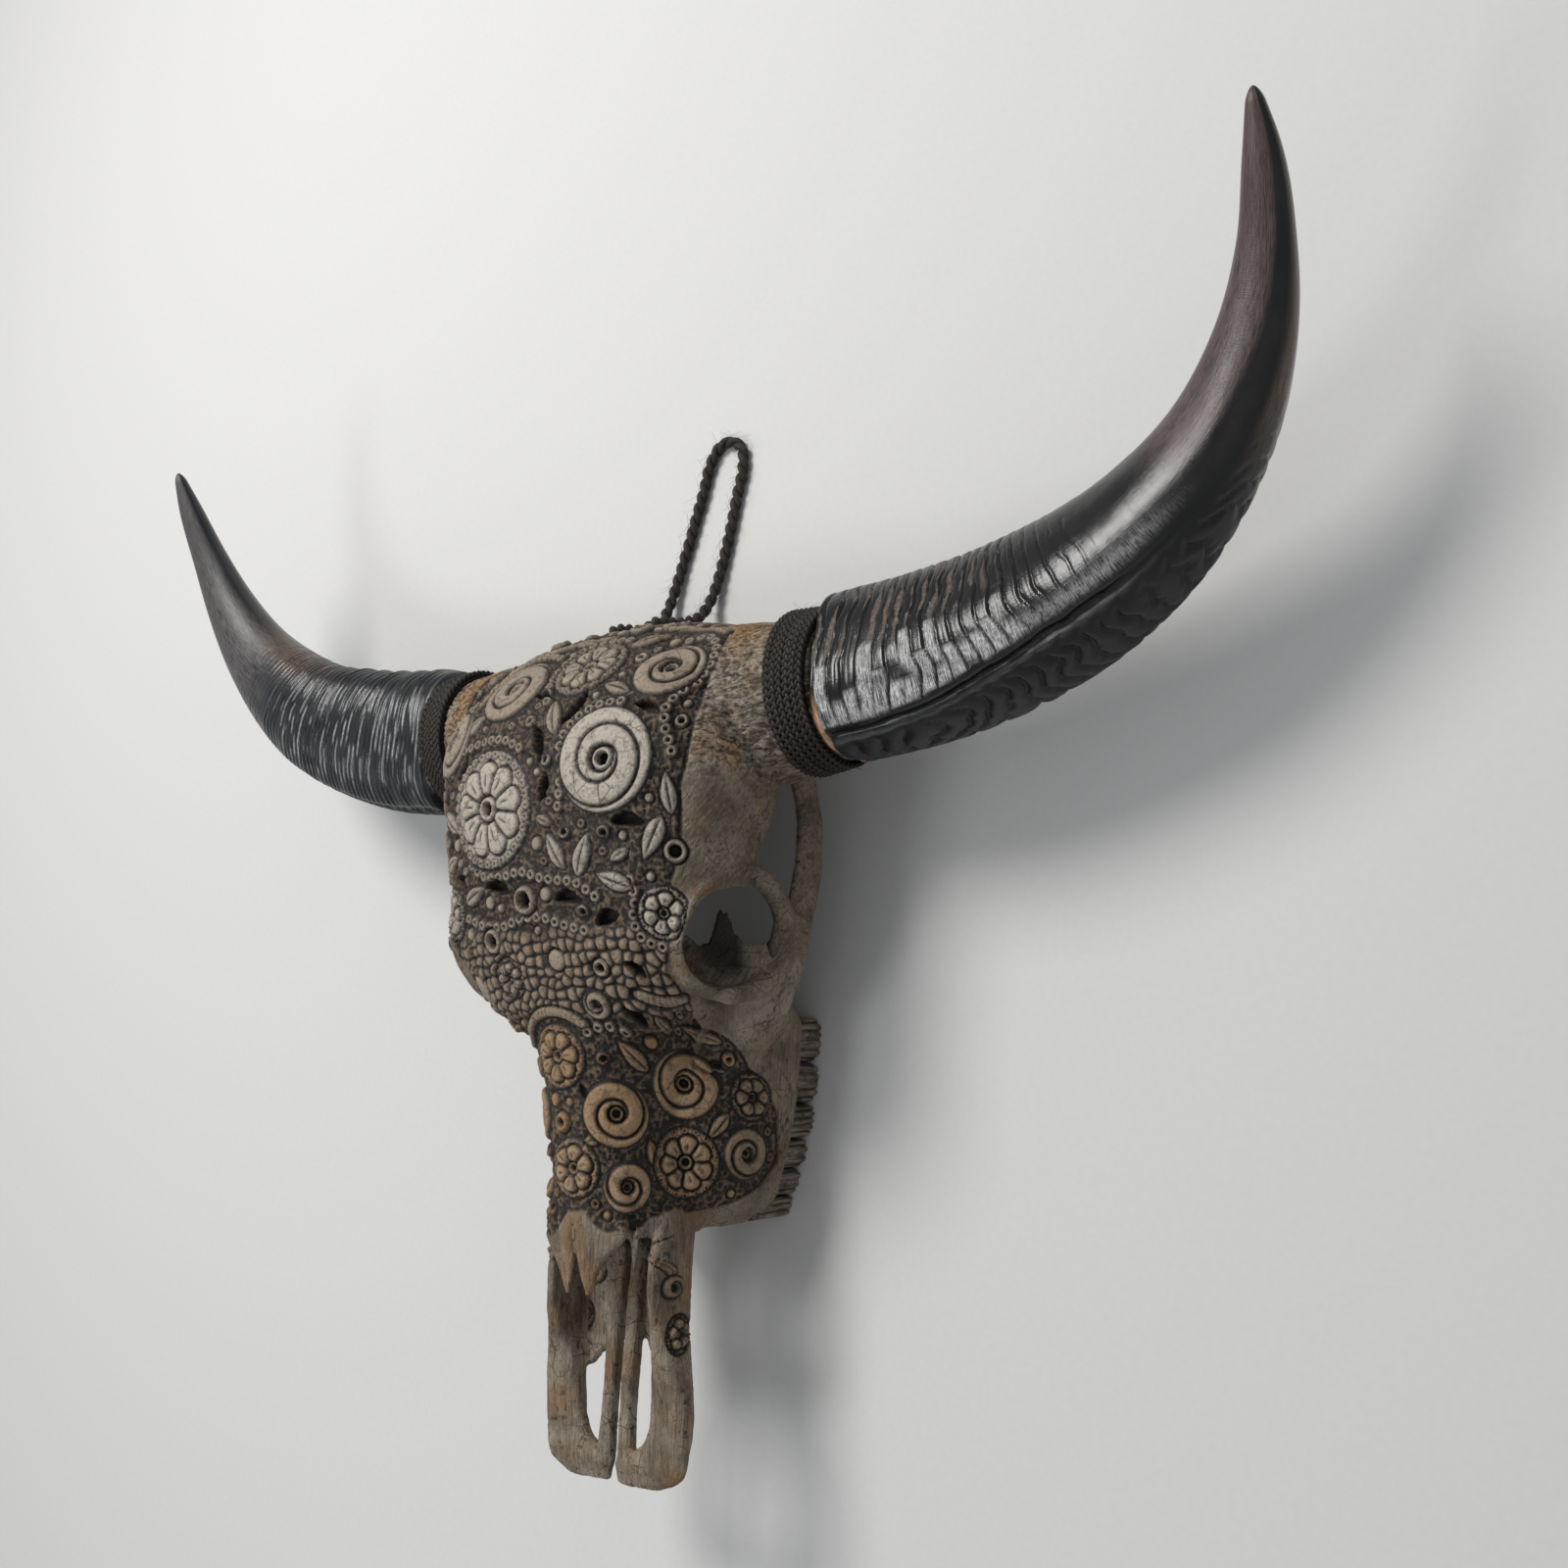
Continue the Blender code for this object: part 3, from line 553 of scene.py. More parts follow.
def bone_hollows():
    """The openings in the bone: orbits, nasal cavity, palate, throat and the hole for the spinal cord."""
    orbit = swept(
        (
            (0.132, 0.289, 0.148),
            (0.095, 0.300, 0.116),
            (0.078, 0.304, 0.100),
            (0.055, 0.312, 0.076),
            (0.030, 0.318, 0.048),
        ),
        (0.0300, 0.0275, 0.0300, 0.0280, 0.0220),
        (0.0300, 0.0275, 0.0290, 0.0260, 0.0200),
        up=(0, 1, 0),
        sides=48,
    )
    nasal_cavity = body(
        (
            (0.120, 0.030, 0.104, 0.1235, 0.090, 2.6),
            (0.140, 0.0315, 0.102, 0.1240, 0.086, 2.4),
            (0.165, 0.0290, 0.100, 0.1240, 0.082, 2.2),
            (0.200, 0.0240, 0.098, 0.1200, 0.080, 2.0),
            (0.225, 0.0150, 0.096, 0.1100, 0.084, 2.0),
        ),
        40,
        56,
    )
    palate_vault = body(
        (
            (0.130, 0.0250, 0.010, 0.050, -0.010, 2.4),
            (0.150, 0.0290, 0.010, 0.048, -0.010, 2.4),
            (0.190, 0.0370, 0.010, 0.049, -0.010, 2.4),
            (0.250, 0.0430, 0.010, 0.054, -0.010, 2.4),
            (0.300, 0.0430, 0.010, 0.058, -0.010, 2.4),
        ),
        36,
        56,
    )
    throat = swept(
        ((0, 0.330, 0.040), (0, 0.290, 0.058), (0, 0.255, 0.070), (0, 0.225, 0.088)),
        (0.022, 0.020, 0.018, 0.014),
        (0.014, 0.014, 0.012, 0.010),
    )
    foramen = swept(
        ((0, 0.520, 0.044), (0, 0.490, 0.046), (0, 0.450, 0.054), (0, 0.420, 0.064)),
        (0.017, 0.015, 0.017, 0.014),
        (0.015, 0.013, 0.017, 0.014),
    )
    hole = (CORD_DIAMETER / 2 + 0.0006,) * 3
    cord_holes = [
        swept([(x, y + off, z) for off in (0.05, 0.02, -0.0015)], hole, hole, count=12, sides=24)
        for x, y, z in (CORD_ROUTE[0], CORD_ROUTE[-1])
    ]
    return [nasal_cavity, palate_vault, throat, foramen, *pair(orbit), *cord_holes]


def plate(outline, centre, across, up, thickness):
    """A thin flat plate: its outline in millimetres along two directions from its centre, given a thickness.

    The outline is drawn finer, with each new point pushed a little to one side, and the rings
    shrink towards its middle so that the plate is thinnest at its edge.
    """
    across, up = unit(np.array(across)), unit(np.array(up))
    through = np.cross(across, up)
    drawn = np.array([*outline, outline[0]], float) * MM
    count = 240
    spots = np.linspace(0, len(outline), count, endpoint=False)
    fine = np.column_stack([np.interp(spots, range(len(drawn)), column) for column in drawn.T])
    ragged = grain(np.column_stack([fine, np.zeros(count)]), 0.0028, 301, 2)
    fine = fine + 0.0013 * ragged[:, None] * np.array([0.6, 1.0])
    middle = fine.mean(0)
    rings = []
    for share, off in ((0.97, -0.5), (1.0, -0.3), (1.0, 0.3), (0.97, 0.5)):
        flat = middle + (fine - middle) * share
        rings.append(np.array(centre) + flat[:, :1] * across + flat[:, 1:] * up + off * thickness * through)
    return skin(rings)


def orbit_remnants():
    """What is left of an orbit's thin walls: a jagged plate with one tall spike, and a torn rim behind it."""
    torn = (
        (-40, -8), (-36, 2), (-33, 5), (-31, -3), (-28, -11), (-24, -8), (-22, -14), (-18, -15), (-15, -8),
        (-12, -13), (-9, -12), (-7, -4), (-5, 4), (-3, 11), (-1, 14), (0, 10), (2, 12), (4, 6), (7, -1),
        (12, -6), (18, -7), (24, -4), (27, -14), (10, -28), (-12, -34), (-34, -30),
    )
    behind = (
        (-36, -4), (-30, 2), (-27, -6), (-22, -1), (-19, -9), (-13, -6), (-9, -14), (-3, -10), (4, -16),
        (10, -12), (16, -18), (18, -26), (-8, -36), (-32, -30),
    )
    return [
        plate(torn, (0.0780, 0.3040, 0.1000), (0.80, 0.0, -0.60), (0.09, 0.99, 0.12), 0.0022),
        plate(behind, (0.0660, 0.3060, 0.0860), (0.85, 0.1, -0.52), (0.0, 0.99, 0.16), 0.0022),
    ]


def orbit_floor():
    """The flared shelf inside an orbit's lower and outer rim: a bar along an arc round the opening."""
    back, right = unit(np.array(PHOTO_BACK)), unit(np.array(PHOTO_RIGHT))
    up = np.cross(back, right)
    angle = np.radians(np.linspace(196, 372, 9))[:, None]
    size = np.interp(angle, np.radians((196, 280, 372)), (0.0255, 0.0235, 0.0290))
    middle = np.array([0.0800, 0.3030, 0.0990]) - 0.007 * back
    path = middle + size * (right * np.cos(angle) + up * np.sin(angle))
    wide = np.interp(angle[:, 0], np.radians((196, 290, 372)), (0.004, 0.0085, 0.0035))
    return swept(path, wide, wide * 0.42, up=back, count=40, sides=20)


def nasal_prongs():
    """The ragged ends of the nasal bones: splinters of several lengths, thinning to points."""
    high = (0.0005, 0.0013, 0.0018, 0.0020)
    splinters = []
    for x, z, front, back, wide in (
        (0.0042, 0.1297, 0.1125, 0.150, 0.0022),
        (0.0118, 0.1282, 0.1060, 0.150, 0.0024),
        (0.0175, 0.1262, 0.1170, 0.152, 0.0026),
        (0.0235, 0.1228, 0.1215, 0.152, 0.0026),
        (0.0300, 0.1165, 0.1180, 0.152, 0.0028),
    ):
        middle = (x, (front + back) / 2, z)
        path = ((x * 0.96, front, z - 0.0010), (x, front + 0.010, z), middle, (x, back, z + 0.0004))
        splinters.append(swept(path, (0.0004, wide * 0.6, wide, wide), high, count=30, sides=16))
    return splinters


def fuse(obj):
    """Has the object's overlapping shapes grow into one closed surface."""
    remesh = obj.modifiers.new("fuse", "REMESH")
    remesh.mode = "VOXEL"
    remesh.voxel_size = BONE_GRAIN


def grown(name, shapes):
    """An object of all these shapes, grown into one."""
    obj = made(name, heap(shapes))
    fuse(obj)
    return applied(obj)


def looked_up(table, row, column):
    """A table at these rows and columns, blended between the four nearest entries."""
    i, j = row.astype(int), column.astype(int)
    below, beside = np.minimum(i + 1, table.shape[0] - 1), np.minimum(j + 1, table.shape[1] - 1)
    s, t = row - i, column - j
    upper = table[i, j] * (1 - t) + table[i, beside] * t
    lower = table[below, j] * (1 - t) + table[below, beside] * t
    return upper * (1 - s) + lower * s


def chart(points):
    """Where each point lies on the face: its distance round the head from the midline, its distance along it
    from the nose, and how far it is inside the head's outline.

    The outline is the greatest radius from an axis inside the head, by angle and by distance
    from the nose. Distance round is length along that outline, and distance along is length along
    the middle of the face. The open front of the jaw has no outline over its middle, so distance
    round it is simply outwards and then down.
    """
    x, y, z = points.T
    angle = np.arctan2(x, z - CHART_AXIS)
    radius = np.hypot(x, z - CHART_AXIS)
    turns, rows, row_step = 181, 200, 0.0025
    turn_step = 2 * math.pi / (turns - 1)
    column = (angle + math.pi) / turn_step
    row = np.clip(y / row_step, 0, rows - 1.001)
    outline = np.zeros((rows, turns))
    np.maximum.at(outline, (np.rint(row).astype(int), np.rint(column).astype(int)), radius)
    for _ in range(6):
        near = np.stack([np.roll(outline, shift, axis) for axis in (0, 1) for shift in (-1, 1)])
        known = (near > 0).sum(0)
        filled = near.sum(0) / np.maximum(known, 1)
        outline = np.where(outline > 0, outline, filled)
    shell = outline.copy()
    outline = np.minimum(outline, 0.128)
    for _ in range(5):
        padded = np.pad(outline, 1, mode="edge")
        around = padded[:-2, 1:-1] + padded[2:, 1:-1] + padded[1:-1, :-2] + padded[1:-1, 2:]
        outline = (around + 2 * outline) / 6
    round_step = np.hypot(outline, np.gradient(outline, turn_step, axis=1)) * turn_step
    round_way = np.cumsum(round_step, axis=1) - round_step / 2
    round_way -= round_way[:, (turns - 1) // 2][:, None]
    ridge = outline[:, (turns - 1) // 2 - 14 : (turns - 1) // 2 + 15].mean(1)
    along_way = np.cumsum(np.hypot(1, np.gradient(ridge, row_step)) * row_step)
    along_way += 0.300 - along_way[int(0.300 / row_step)]
    front = 1 - ease(0.118, 0.136, y)
    u = looked_up(round_way, row, column) * (1 - front) + np.sign(x) * (np.abs(x) + 0.130 - z) * front
    v = np.interp(y, np.arange(rows) * row_step, along_way)
    inside = (looked_up(shell, row, column) - radius) * (1 - front)
    return u, v, inside


class Panel:
    """The carved face laid flat: its height in metres, and its stains and painted shade, by distance round and
    along the head.
    """

    def __init__(self):
        self.u = np.arange(-CHART_SIDE, CHART_SIDE, CHART_STEP)
        self.v = np.arange(CHART_FRONT, CHART_BACK, CHART_STEP)
        shape = (len(self.v), len(self.u))
        self.layers = {name: np.zeros(shape) for name in ("height", "dirt", "pale", "warm", "cover", "taken")}

    def places(self):
        """The distances round and along the head at every spot of the grid."""
        across, ahead = np.meshgrid(self.u, self.v)
        return across, ahead

    def near(self, u, v, reach, turn=0.0):
        """A window of the grid round a place, with its distances from there turned by this angle."""
        i = slice(*np.searchsorted(self.v, (v - reach, v + reach)))
        j = slice(*np.searchsorted(self.u, (u - reach, u + reach)))
        across, ahead = np.meshgrid(self.u[j] - u, self.v[i] - v)
        c, s = math.cos(turn), math.sin(turn)
        return (i, j), c * across + s * ahead, c * ahead - s * across

    def lay(self, window, cover, **values):
        """Lays a motif over what is there, by its cover from 0 to 1."""
        for name, value in {"cover": 1.0, "taken": 1.0, **values}.items():
            layer = self.layers[name][window]
            layer += (value - layer) * cover

    def add(self, window, **values):
        """Adds to what is there, without covering it."""
        for name, value in values.items():
            self.layers[name][window] += value

    def read(self, name, u, v):
        """One layer at these distances round and along the head."""
        layer = self.layers[name]
        column = np.clip((u - self.u[0]) / CHART_STEP, 0, len(self.u) - 1.001)
        row = np.clip((v - self.v[0]) / CHART_STEP, 0, len(self.v) - 1.001)
        return looked_up(layer, row, column)


def line(distance, width):
    """1 on a line, falling off to both sides over this width."""
    return np.exp(-((distance / width) ** 2))


def dome(share):
    """A round swelling: 1 in the middle and 0 where share reaches 1."""
    return np.sqrt(np.clip(1 - share**2, 0, 1))


def ring_dot(distance, size=1.0):
    """A drilled dot in a raised ring: its height, darkness and paleness by the distance from its middle."""
    d = distance / size
    height = 0.0011 * line(d - 0.0019, 0.0008) - 0.0024 * line(d, 0.0010) - 0.0006 * line(d - 0.0034, 0.0006)
    dirt = line(d, 0.0011) + 0.6 * line(d - 0.0034, 0.0006)
    return height, np.clip(dirt, 0, 1), line(d - 0.0019, 0.0009)


def boss(panel, u, v, radius, pale=0.5, warm=0.0, eye=0.0, rise=0.0030):
    """A round swelling in a groove, with a drilled eye of this share of its radius."""
    window, x, y = panel.near(u, v, radius + 0.004)
    r = np.hypot(x, y)
    edge = line(r - radius, 0.0009)
    hole = 1 - ease(eye * radius - 0.0006, eye * radius + 0.0006, r) if eye else np.zeros_like(r)
    rim = line(r - eye * radius - 0.0012, 0.0009) if eye else 0.0
    height = -0.0008 + rise * min(1, radius / 0.010) * dome(r / radius) + 0.0006 * rim - 0.0022 * edge
    height = height * (1 - hole) - min(0.0085, 0.9 * radius) * hole
    panel.lay(
        window,
        1 - ease(radius, radius + 0.0012, r),
        height=height,
        dirt=np.clip(edge + hole, 0, 1),
        pale=pale * (1 - 0.5 * edge),
        warm=warm,
    )


def rosette(panel, u, v, radius, petals, turn=0.0, pale=0.8, warm=0.0, eye=0.5):
    """A flower in a beaded ring, with domed petals parted by grooves and a vein up each."""
    window, x, y = panel.near(u, v, radius + 0.004, turn)
    r, angle = np.hypot(x, y), np.arctan2(y, x)
    phase = angle * petals / (2 * math.pi)
    off = np.abs(phase - np.rint(phase)) * 2 * math.pi / petals
    parted = r * (math.pi / petals - off)
    tip = radius * (0.66 + 0.14 * np.cos(off * petals / 2) ** 0.8)
    root = 0.22 * radius
    up_petal = np.clip((r - root) / (tip - root), 0, 1)
    swell = dome(off * petals / math.pi) * np.sin(math.pi * up_petal) ** 0.5
    inside = ease(0.0, 0.0012, tip - r)
    beaded = 0.90 * radius
    count = max(8, round(2 * math.pi * beaded / 0.0064))
    bead_phase = angle * count / (2 * math.pi)
    bead = np.hypot((bead_phase - np.rint(bead_phase)) * 2 * math.pi * beaded / count, r - beaded)
    bead_height, bead_dirt, _ = ring_dot(bead, 0.0064 / 0.0076 if radius > 0.02 else 0.62)
    grooves = np.clip(line(parted, 0.0008) * inside + line(r - radius, 0.0010) + line(tip - r, 0.0008), 0, 1)
    vein = line(r * off, 0.0006) * band(0.3, 0.4, 0.52, 0.6, r / radius) * inside
    height = (
        -0.0006
        + 0.0016 * dome(r / (1.25 * radius))
        + 0.0017 * swell * inside
        - 0.0020 * grooves
        - 0.0009 * vein
        + bead_height * (1 - inside)
    )
    dirt = np.clip(grooves + 0.6 * vein + bead_dirt * (1 - inside), 0, 1)
    cover = 1 - ease(radius, radius + 0.0014, r)
    panel.lay(window, cover, height=height, dirt=dirt, pale=pale * (0.75 + 0.25 * inside), warm=warm)
    boss(panel, u, v, 0.23 * radius, pale, warm, eye, 0.0034)


def volute(panel, u, v, radius, hand=1, coils=2.5, turn=0.0, pale=0.8, warm=0.0, eye=0.5):
    """A scroll wound in to an eye: its groove is where coils * r**0.8 plus the share of a turn is whole."""
    window, x, y = panel.near(u, v, radius + 0.004, turn)
    r, angle = np.hypot(x, y), np.arctan2(y, x)
    share = np.clip(r / radius, 1e-3, 2)
    phase = hand * angle / (2 * math.pi) + coils * share**0.8
    off = np.abs(phase - np.rint(phase))
    apart = radius / (coils * 0.8) * share**0.2
    groove = np.clip(line(off * apart, 0.0009) + line(r - radius, 0.0010), 0, 1)
    hatch = crest((angle * hand * 0.5 + 6 * share) * radius / 0.0075, 6)
    hatch = hatch * ease(0.12, 0.3, off) * (share > 0.35)
    height = -0.0006 + 0.0026 * dome(r / (1.15 * radius)) + 0.0010 * dome(1 - 2 * off)
    height = height - 0.0021 * groove - 0.0005 * hatch
    panel.lay(
        window,
        1 - ease(radius, radius + 0.0014, r),
        height=height,
        dirt=np.clip(groove + 0.35 * hatch, 0, 1),
        pale=pale * (0.7 + 0.3 * dome(1 - 2 * off)),
        warm=warm,
    )
    boss(panel, u, v, 0.25 * radius, pale, warm, eye, 0.0030)


def leaf(panel, u, v, length, width, turn=0.0, pale=0.5, warm=0.0):
    """A pointed leaf, half width * sin(pi * t**0.8), with a midrib and slanting veins."""
    window, x, y = panel.near(u, v, length / 2 + 0.004, turn)
    t = np.clip(y / length + 0.5, 0, 1)
    half = width / 2 * np.sin(math.pi * t**0.8) ** 0.85
    within = (np.abs(y) < length / 2 + 0.001) * 1.0
    edge = line(np.abs(x) - half, 0.0009) * within
    rib = line(x, 0.0007) * ease(0.0, 0.004, half)
    vein = crest((y - 0.9 * np.abs(x)) / 0.0042, 4) * ease(0.0008, 0.002, np.abs(x))
    height = -0.0006 + 0.0024 * dome(np.abs(x) / np.maximum(half, 1e-4)) * np.sin(math.pi * t) ** 0.5
    height = height - 0.0018 * edge - 0.0012 * rib - 0.0005 * vein
    cover = (1 - ease(0.0, 0.0012, np.abs(x) - half)) * within
    dirt = np.clip(edge + 0.7 * rib + 0.4 * vein, 0, 1)
    panel.lay(window, cover, height=height, dirt=dirt, pale=pale, warm=warm)


def slit(panel, u, v, length, width, turn=0.0, depth=0.008):
    """A deep almond-shaped cut with a slightly raised lip."""
    window, x, y = panel.near(u, v, length / 2 + 0.005, turn)
    t = np.clip(y / length + 0.5, 0, 1)
    half = width / 2 * np.sin(math.pi * t) ** 0.8
    bow = 0.10 * length * (np.sin(math.pi * t) - 0.6)
    across = np.abs(x - bow)
    within = (np.abs(y) < length / 2) * 1.0
    inner = (1 - ease(half - 0.0005, half + 0.0007, across)) * within
    panel.add(window, height=0.0007 * line(across - half - 0.0014, 0.0009) * within)
    panel.lay(window, inner, height=-depth, dirt=1.0, pale=0.0)


def beads(panel, points, spacing=0.0068, size=1.0, pale=0.6, warm=0.0):
    """A row of ring dots along a smooth line on the face."""
    track = np.column_stack([np.array(points, float) * MM, np.zeros(len(points))])
    for u, v in along(track, max(2, round(length_of(along(track, 60)) / spacing) + 1))[:, :2]:
        window, x, y = panel.near(u, v, 0.0055)
        r = np.hypot(x, y)
        height, dirt, ring = ring_dot(r, size)
        cover = 1 - ease(0.0030 * size, 0.0040 * size, r)
        panel.lay(window, cover, height=0.0006 + height, dirt=dirt, pale=pale * ring, warm=warm)


def ribbon(panel, points, width, pale=0.6, warm=0.0, ribs=0.0):
    """A raised band along a smooth line, edged with grooves and crossed by ribs this far apart."""
    track = along(np.column_stack([np.array(points, float) * MM, np.zeros(len(points))]), 120)[:, :2]
    middle, reach = (track.min(0) + track.max(0)) / 2, np.ptp(track, axis=0).max() / 2 + width
    window, x, y = panel.near(*middle, reach)
    spots = np.stack([x, y], axis=-1)[:, :, None] - (track - middle)[None, None]
    apart = np.hypot(spots[..., 0], spots[..., 1])
    nearest = apart.argmin(-1)
    r = apart.min(-1)
    run = run_of(track)[nearest]
    half = width / 2 * np.clip(1.15 - 0.75 * np.abs(run / run.max() - 0.35), 0.3, 1)
    edge = line(r - half, 0.0008)
    rib = crest(run / ribs, 3) if ribs else 0.0
    height = 0.0004 + 0.0016 * dome(r / half) - 0.0018 * edge - 0.0008 * rib
    dirt = np.clip(edge + 0.5 * rib, 0, 1)
    panel.lay(window, 1 - ease(0.0, 0.0012, r - half), height=height, dirt=dirt, pale=pale, warm=warm)


def pebbled(across, ahead, size, seed):
    """Cells round scattered points: the distance to the nearest point, and to the cell's edge."""
    place = np.stack([across / size, ahead / size], axis=-1)
    cell = np.floor(place)
    first = np.full(across.shape, 9.0)
    second = np.full(across.shape, 9.0)
    for du in (-1, 0, 1):
        for dv in (-1, 0, 1):
            corner = cell + (du, dv)
            flat = np.concatenate([corner.reshape(-1, 2), np.zeros((corner.size // 2, 1))], axis=1)
            jitter = np.column_stack([scattered(flat, seed), scattered(flat, seed + 1)]).reshape(corner.shape)
            apart = np.hypot(*np.moveaxis(corner + 0.15 + 0.7 * jitter - place, -1, 0))
            second = np.minimum(second, np.maximum(first, apart))
            first = np.minimum(first, apart)
    return first * size, (second - first) * size / 2


def blurred(layer, cells):
    """The layer averaged over a square this many spots wide, twice."""
    for _ in range(2):
        for axis in (0, 1):
            edges = [(cells + 1, cells) if a == axis else (0, 0) for a in (0, 1)]
            total = np.cumsum(np.pad(layer, edges, mode="edge"), axis)
            wide, size = 2 * cells + 1, total.shape[axis]
            ahead, behind = np.take(total, range(wide, size), axis), np.take(total, range(size - wide), axis)
            layer = (ahead - behind) / wide
    return layer


# Edges of the carved zone: distance round the head at distances along it, in millimetres
CARVED_EDGE = (
    (138, 40), (142, 62), (148, 98), (156, 118), (170, 133), (200, 131), (222, 116), (245, 100), (262, 86),
    (280, 79), (300, 84), (330, 89), (345, 94), (380, 97), (400, 101), (425, 105), (450, 104), (480, 101),
    (505, 92), (520, 70), (528, 30),
)
ROSETTES = (
    # round, along, radius, petals, turn, pale, warm
    (-34, 375, 35, 9, 0.2, 0.95, 0.0),
    (20, 462, 24, 8, 0.0, 0.55, 0.1),
    (83, 312, 15, 6, 0.3, 0.85, 0.0),
    (-84, 318, 16, 7, 0.0, 0.75, 0.0),
    (-3, 232, 19, 7, 0.1, 0.5, 0.75),
    (70, 172, 20, 7, 0.5, 0.45, 0.65),
    (2, 170, 17, 6, 0.3, 0.55, 0.6),
    (112, 208, 14, 6, 0.0, 0.25, 0.35),
)
VOLUTES = (
    # round, along, radius, hand, coils, turn, pale, warm
    (52, 396, 30, 1, 2.6, 0.4, 0.95, 0.0),
    (-82, 420, 22, -1, 2.2, 1.0, 0.55, 0.1),
    (-34, 452, 25, 1, 2.4, 2.2, 0.5, 0.1),
    (78, 452, 21, -1, 2.2, 2.0, 0.5, 0.15),
    (30, 200, 19, -1, 2.2, 0.8, 0.55, 0.75),
    (72, 216, 20, 1, 2.3, 2.4, 0.5, 0.70),
    (-33, 199, 16, 1, 2.0, 1.2, 0.5, 0.7),
    (34, 160, 14, 1, 1.9, 0.6, 0.5, 0.6),
    (107, 176, 15, -1, 2.0, 0.3, 0.25, 0.35),
    (-74, 205, 20, -1, 2.2, 0.3, 0.4, 0.6),
    (-70, 165, 18, 1, 2.1, 1.3, 0.4, 0.6),
)
LEAVES = (
    # round, along, length, width, turn, pale, warm
    (18, 348, 24, 11, 0.5, 0.7, 0.0),
    (37, 345, 26, 12, -0.35, 0.8, 0.0),
    (-78, 372, 24, 11, 0.9, 0.7, 0.0),
    (-84, 347, 22, 10, 1.9, 0.7, 0.0),
    (80, 352, 27, 12, 2.7, 0.8, 0.0),
    (90, 376, 24, 10, 0.1, 0.75, 0.0),
    (12, 425, 26, 12, 0.3, 0.5, 0.05),
    (50, 440, 22, 10, 1.2, 0.45, 0.1),
    (-58, 428, 24, 11, -0.8, 0.5, 0.05),
    (56, 330, 24, 11, 1.2, 0.75, 0.0),
    (-52, 327, 23, 11, -1.2, 0.6, 0.0),
    (43, 232, 24, 11, 0.7, 0.35, 0.6),
    (-30, 226, 24, 11, -0.9, 0.4, 0.6),
    (88, 244, 22, 10, 1.1, 0.3, 0.4),
    (90, 192, 20, 9, 2.4, 0.3, 0.5),
    (16, 186, 16, 8, 1.9, 0.4, 0.7),
    (50, 178, 18, 8, 0.2, 0.4, 0.7),
    (-8, 496, 26, 11, 1.5, 0.35, 0.1),
    (50, 484, 26, 11, -1.2, 0.35, 0.2),
    (-70, 462, 26, 11, 0.9, 0.35, 0.1),
)
SLITS = (
    # round, along, length, width, turn, depth
    (3, 410, 24, 7, 0.35, 8),
    (10, 384, 17, 6, -0.2, 8),
    (26, 430, 26, 7, -0.5, 8),
    (-62, 402, 18, 6, -0.6, 7),
    (75, 425, 18, 6, 1.1, 7),
    (66, 362, 20, 7, 1.5, 8),
    (24, 322, 20, 7, 1.5, 8),
    (-30, 330, 22, 8, 1.4, 8),
    (-68, 336, 15, 6, 1.2, 7),
    (49, 310, 16, 8, 1.9, 8),
    (-62, 292, 13, 6, 0.3, 7),
    (62, 282, 14, 6, 0.8, 6),
    (52, 255, 15, 6, 0.6, 6),
    (12, 212, 9, 4, 0.4, 4),
    (92, 226, 10, 5, 0.9, 4),
    (-4, 442, 14, 5, 1.2, 7),
    (-98, 386, 16, 6, 0.2, 7),
)
BEAD_ROWS = (
    ((22, 372), (24, 392), (22, 408), (30, 420), (44, 428), (58, 429)),
    ((-76, 400), (-66, 410), (-54, 413), (-40, 415), (-24, 414), (-10, 408)),
    ((2, 436), (-4, 452), (-4, 468), (4, 484), (18, 489), (34, 487)),
    ((98, 440), (101, 456), (98, 472), (90, 480), (78, 478)),
    ((92, 398), (88, 410), (86, 424), (92, 434)),
    ((-52, 344), (-40, 337), (-24, 336), (-8, 338), (6, 334), (18, 332), (32, 330), (44, 322)),
    ((-60, 314), (-44, 309), (-28, 308), (-12, 312), (4, 312), (18, 308), (34, 304)),
    ((66, 330), (68, 320), (66, 308), (70, 298), (80, 294)),
    ((-100, 404), (-104, 420), (-104, 438), (-96, 450), (-84, 450)),
    ((20, 246), (34, 250), (42, 246)),
    ((-62, 476), (-46, 484), (-30, 484), (-14, 478)),
)
RIBBONS = (
    ((-66, 444), (-58, 470), (-36, 488), (-8, 494), (18, 494)),
    ((100, 484), (84, 494), (64, 498), (44, 500)),
    ((-92, 366), (-98, 352), (-98, 338)),
    ((20, 250), (8, 257), (-8, 258), (-24, 250), (-32, 238)),
    ((58, 268), (72, 264), (84, 266)),
)
HOLES = (
    # round, along, radius, eye
    (-40, 300, 8, 0.55),
    (-8, 322, 9, 0.55),
    (92, 345, 7, 0.5),
    (-98, 300, 7, 0.5),
    (40, 283, 6, 0.4),
    (10, 288, 7, 0.0),
)


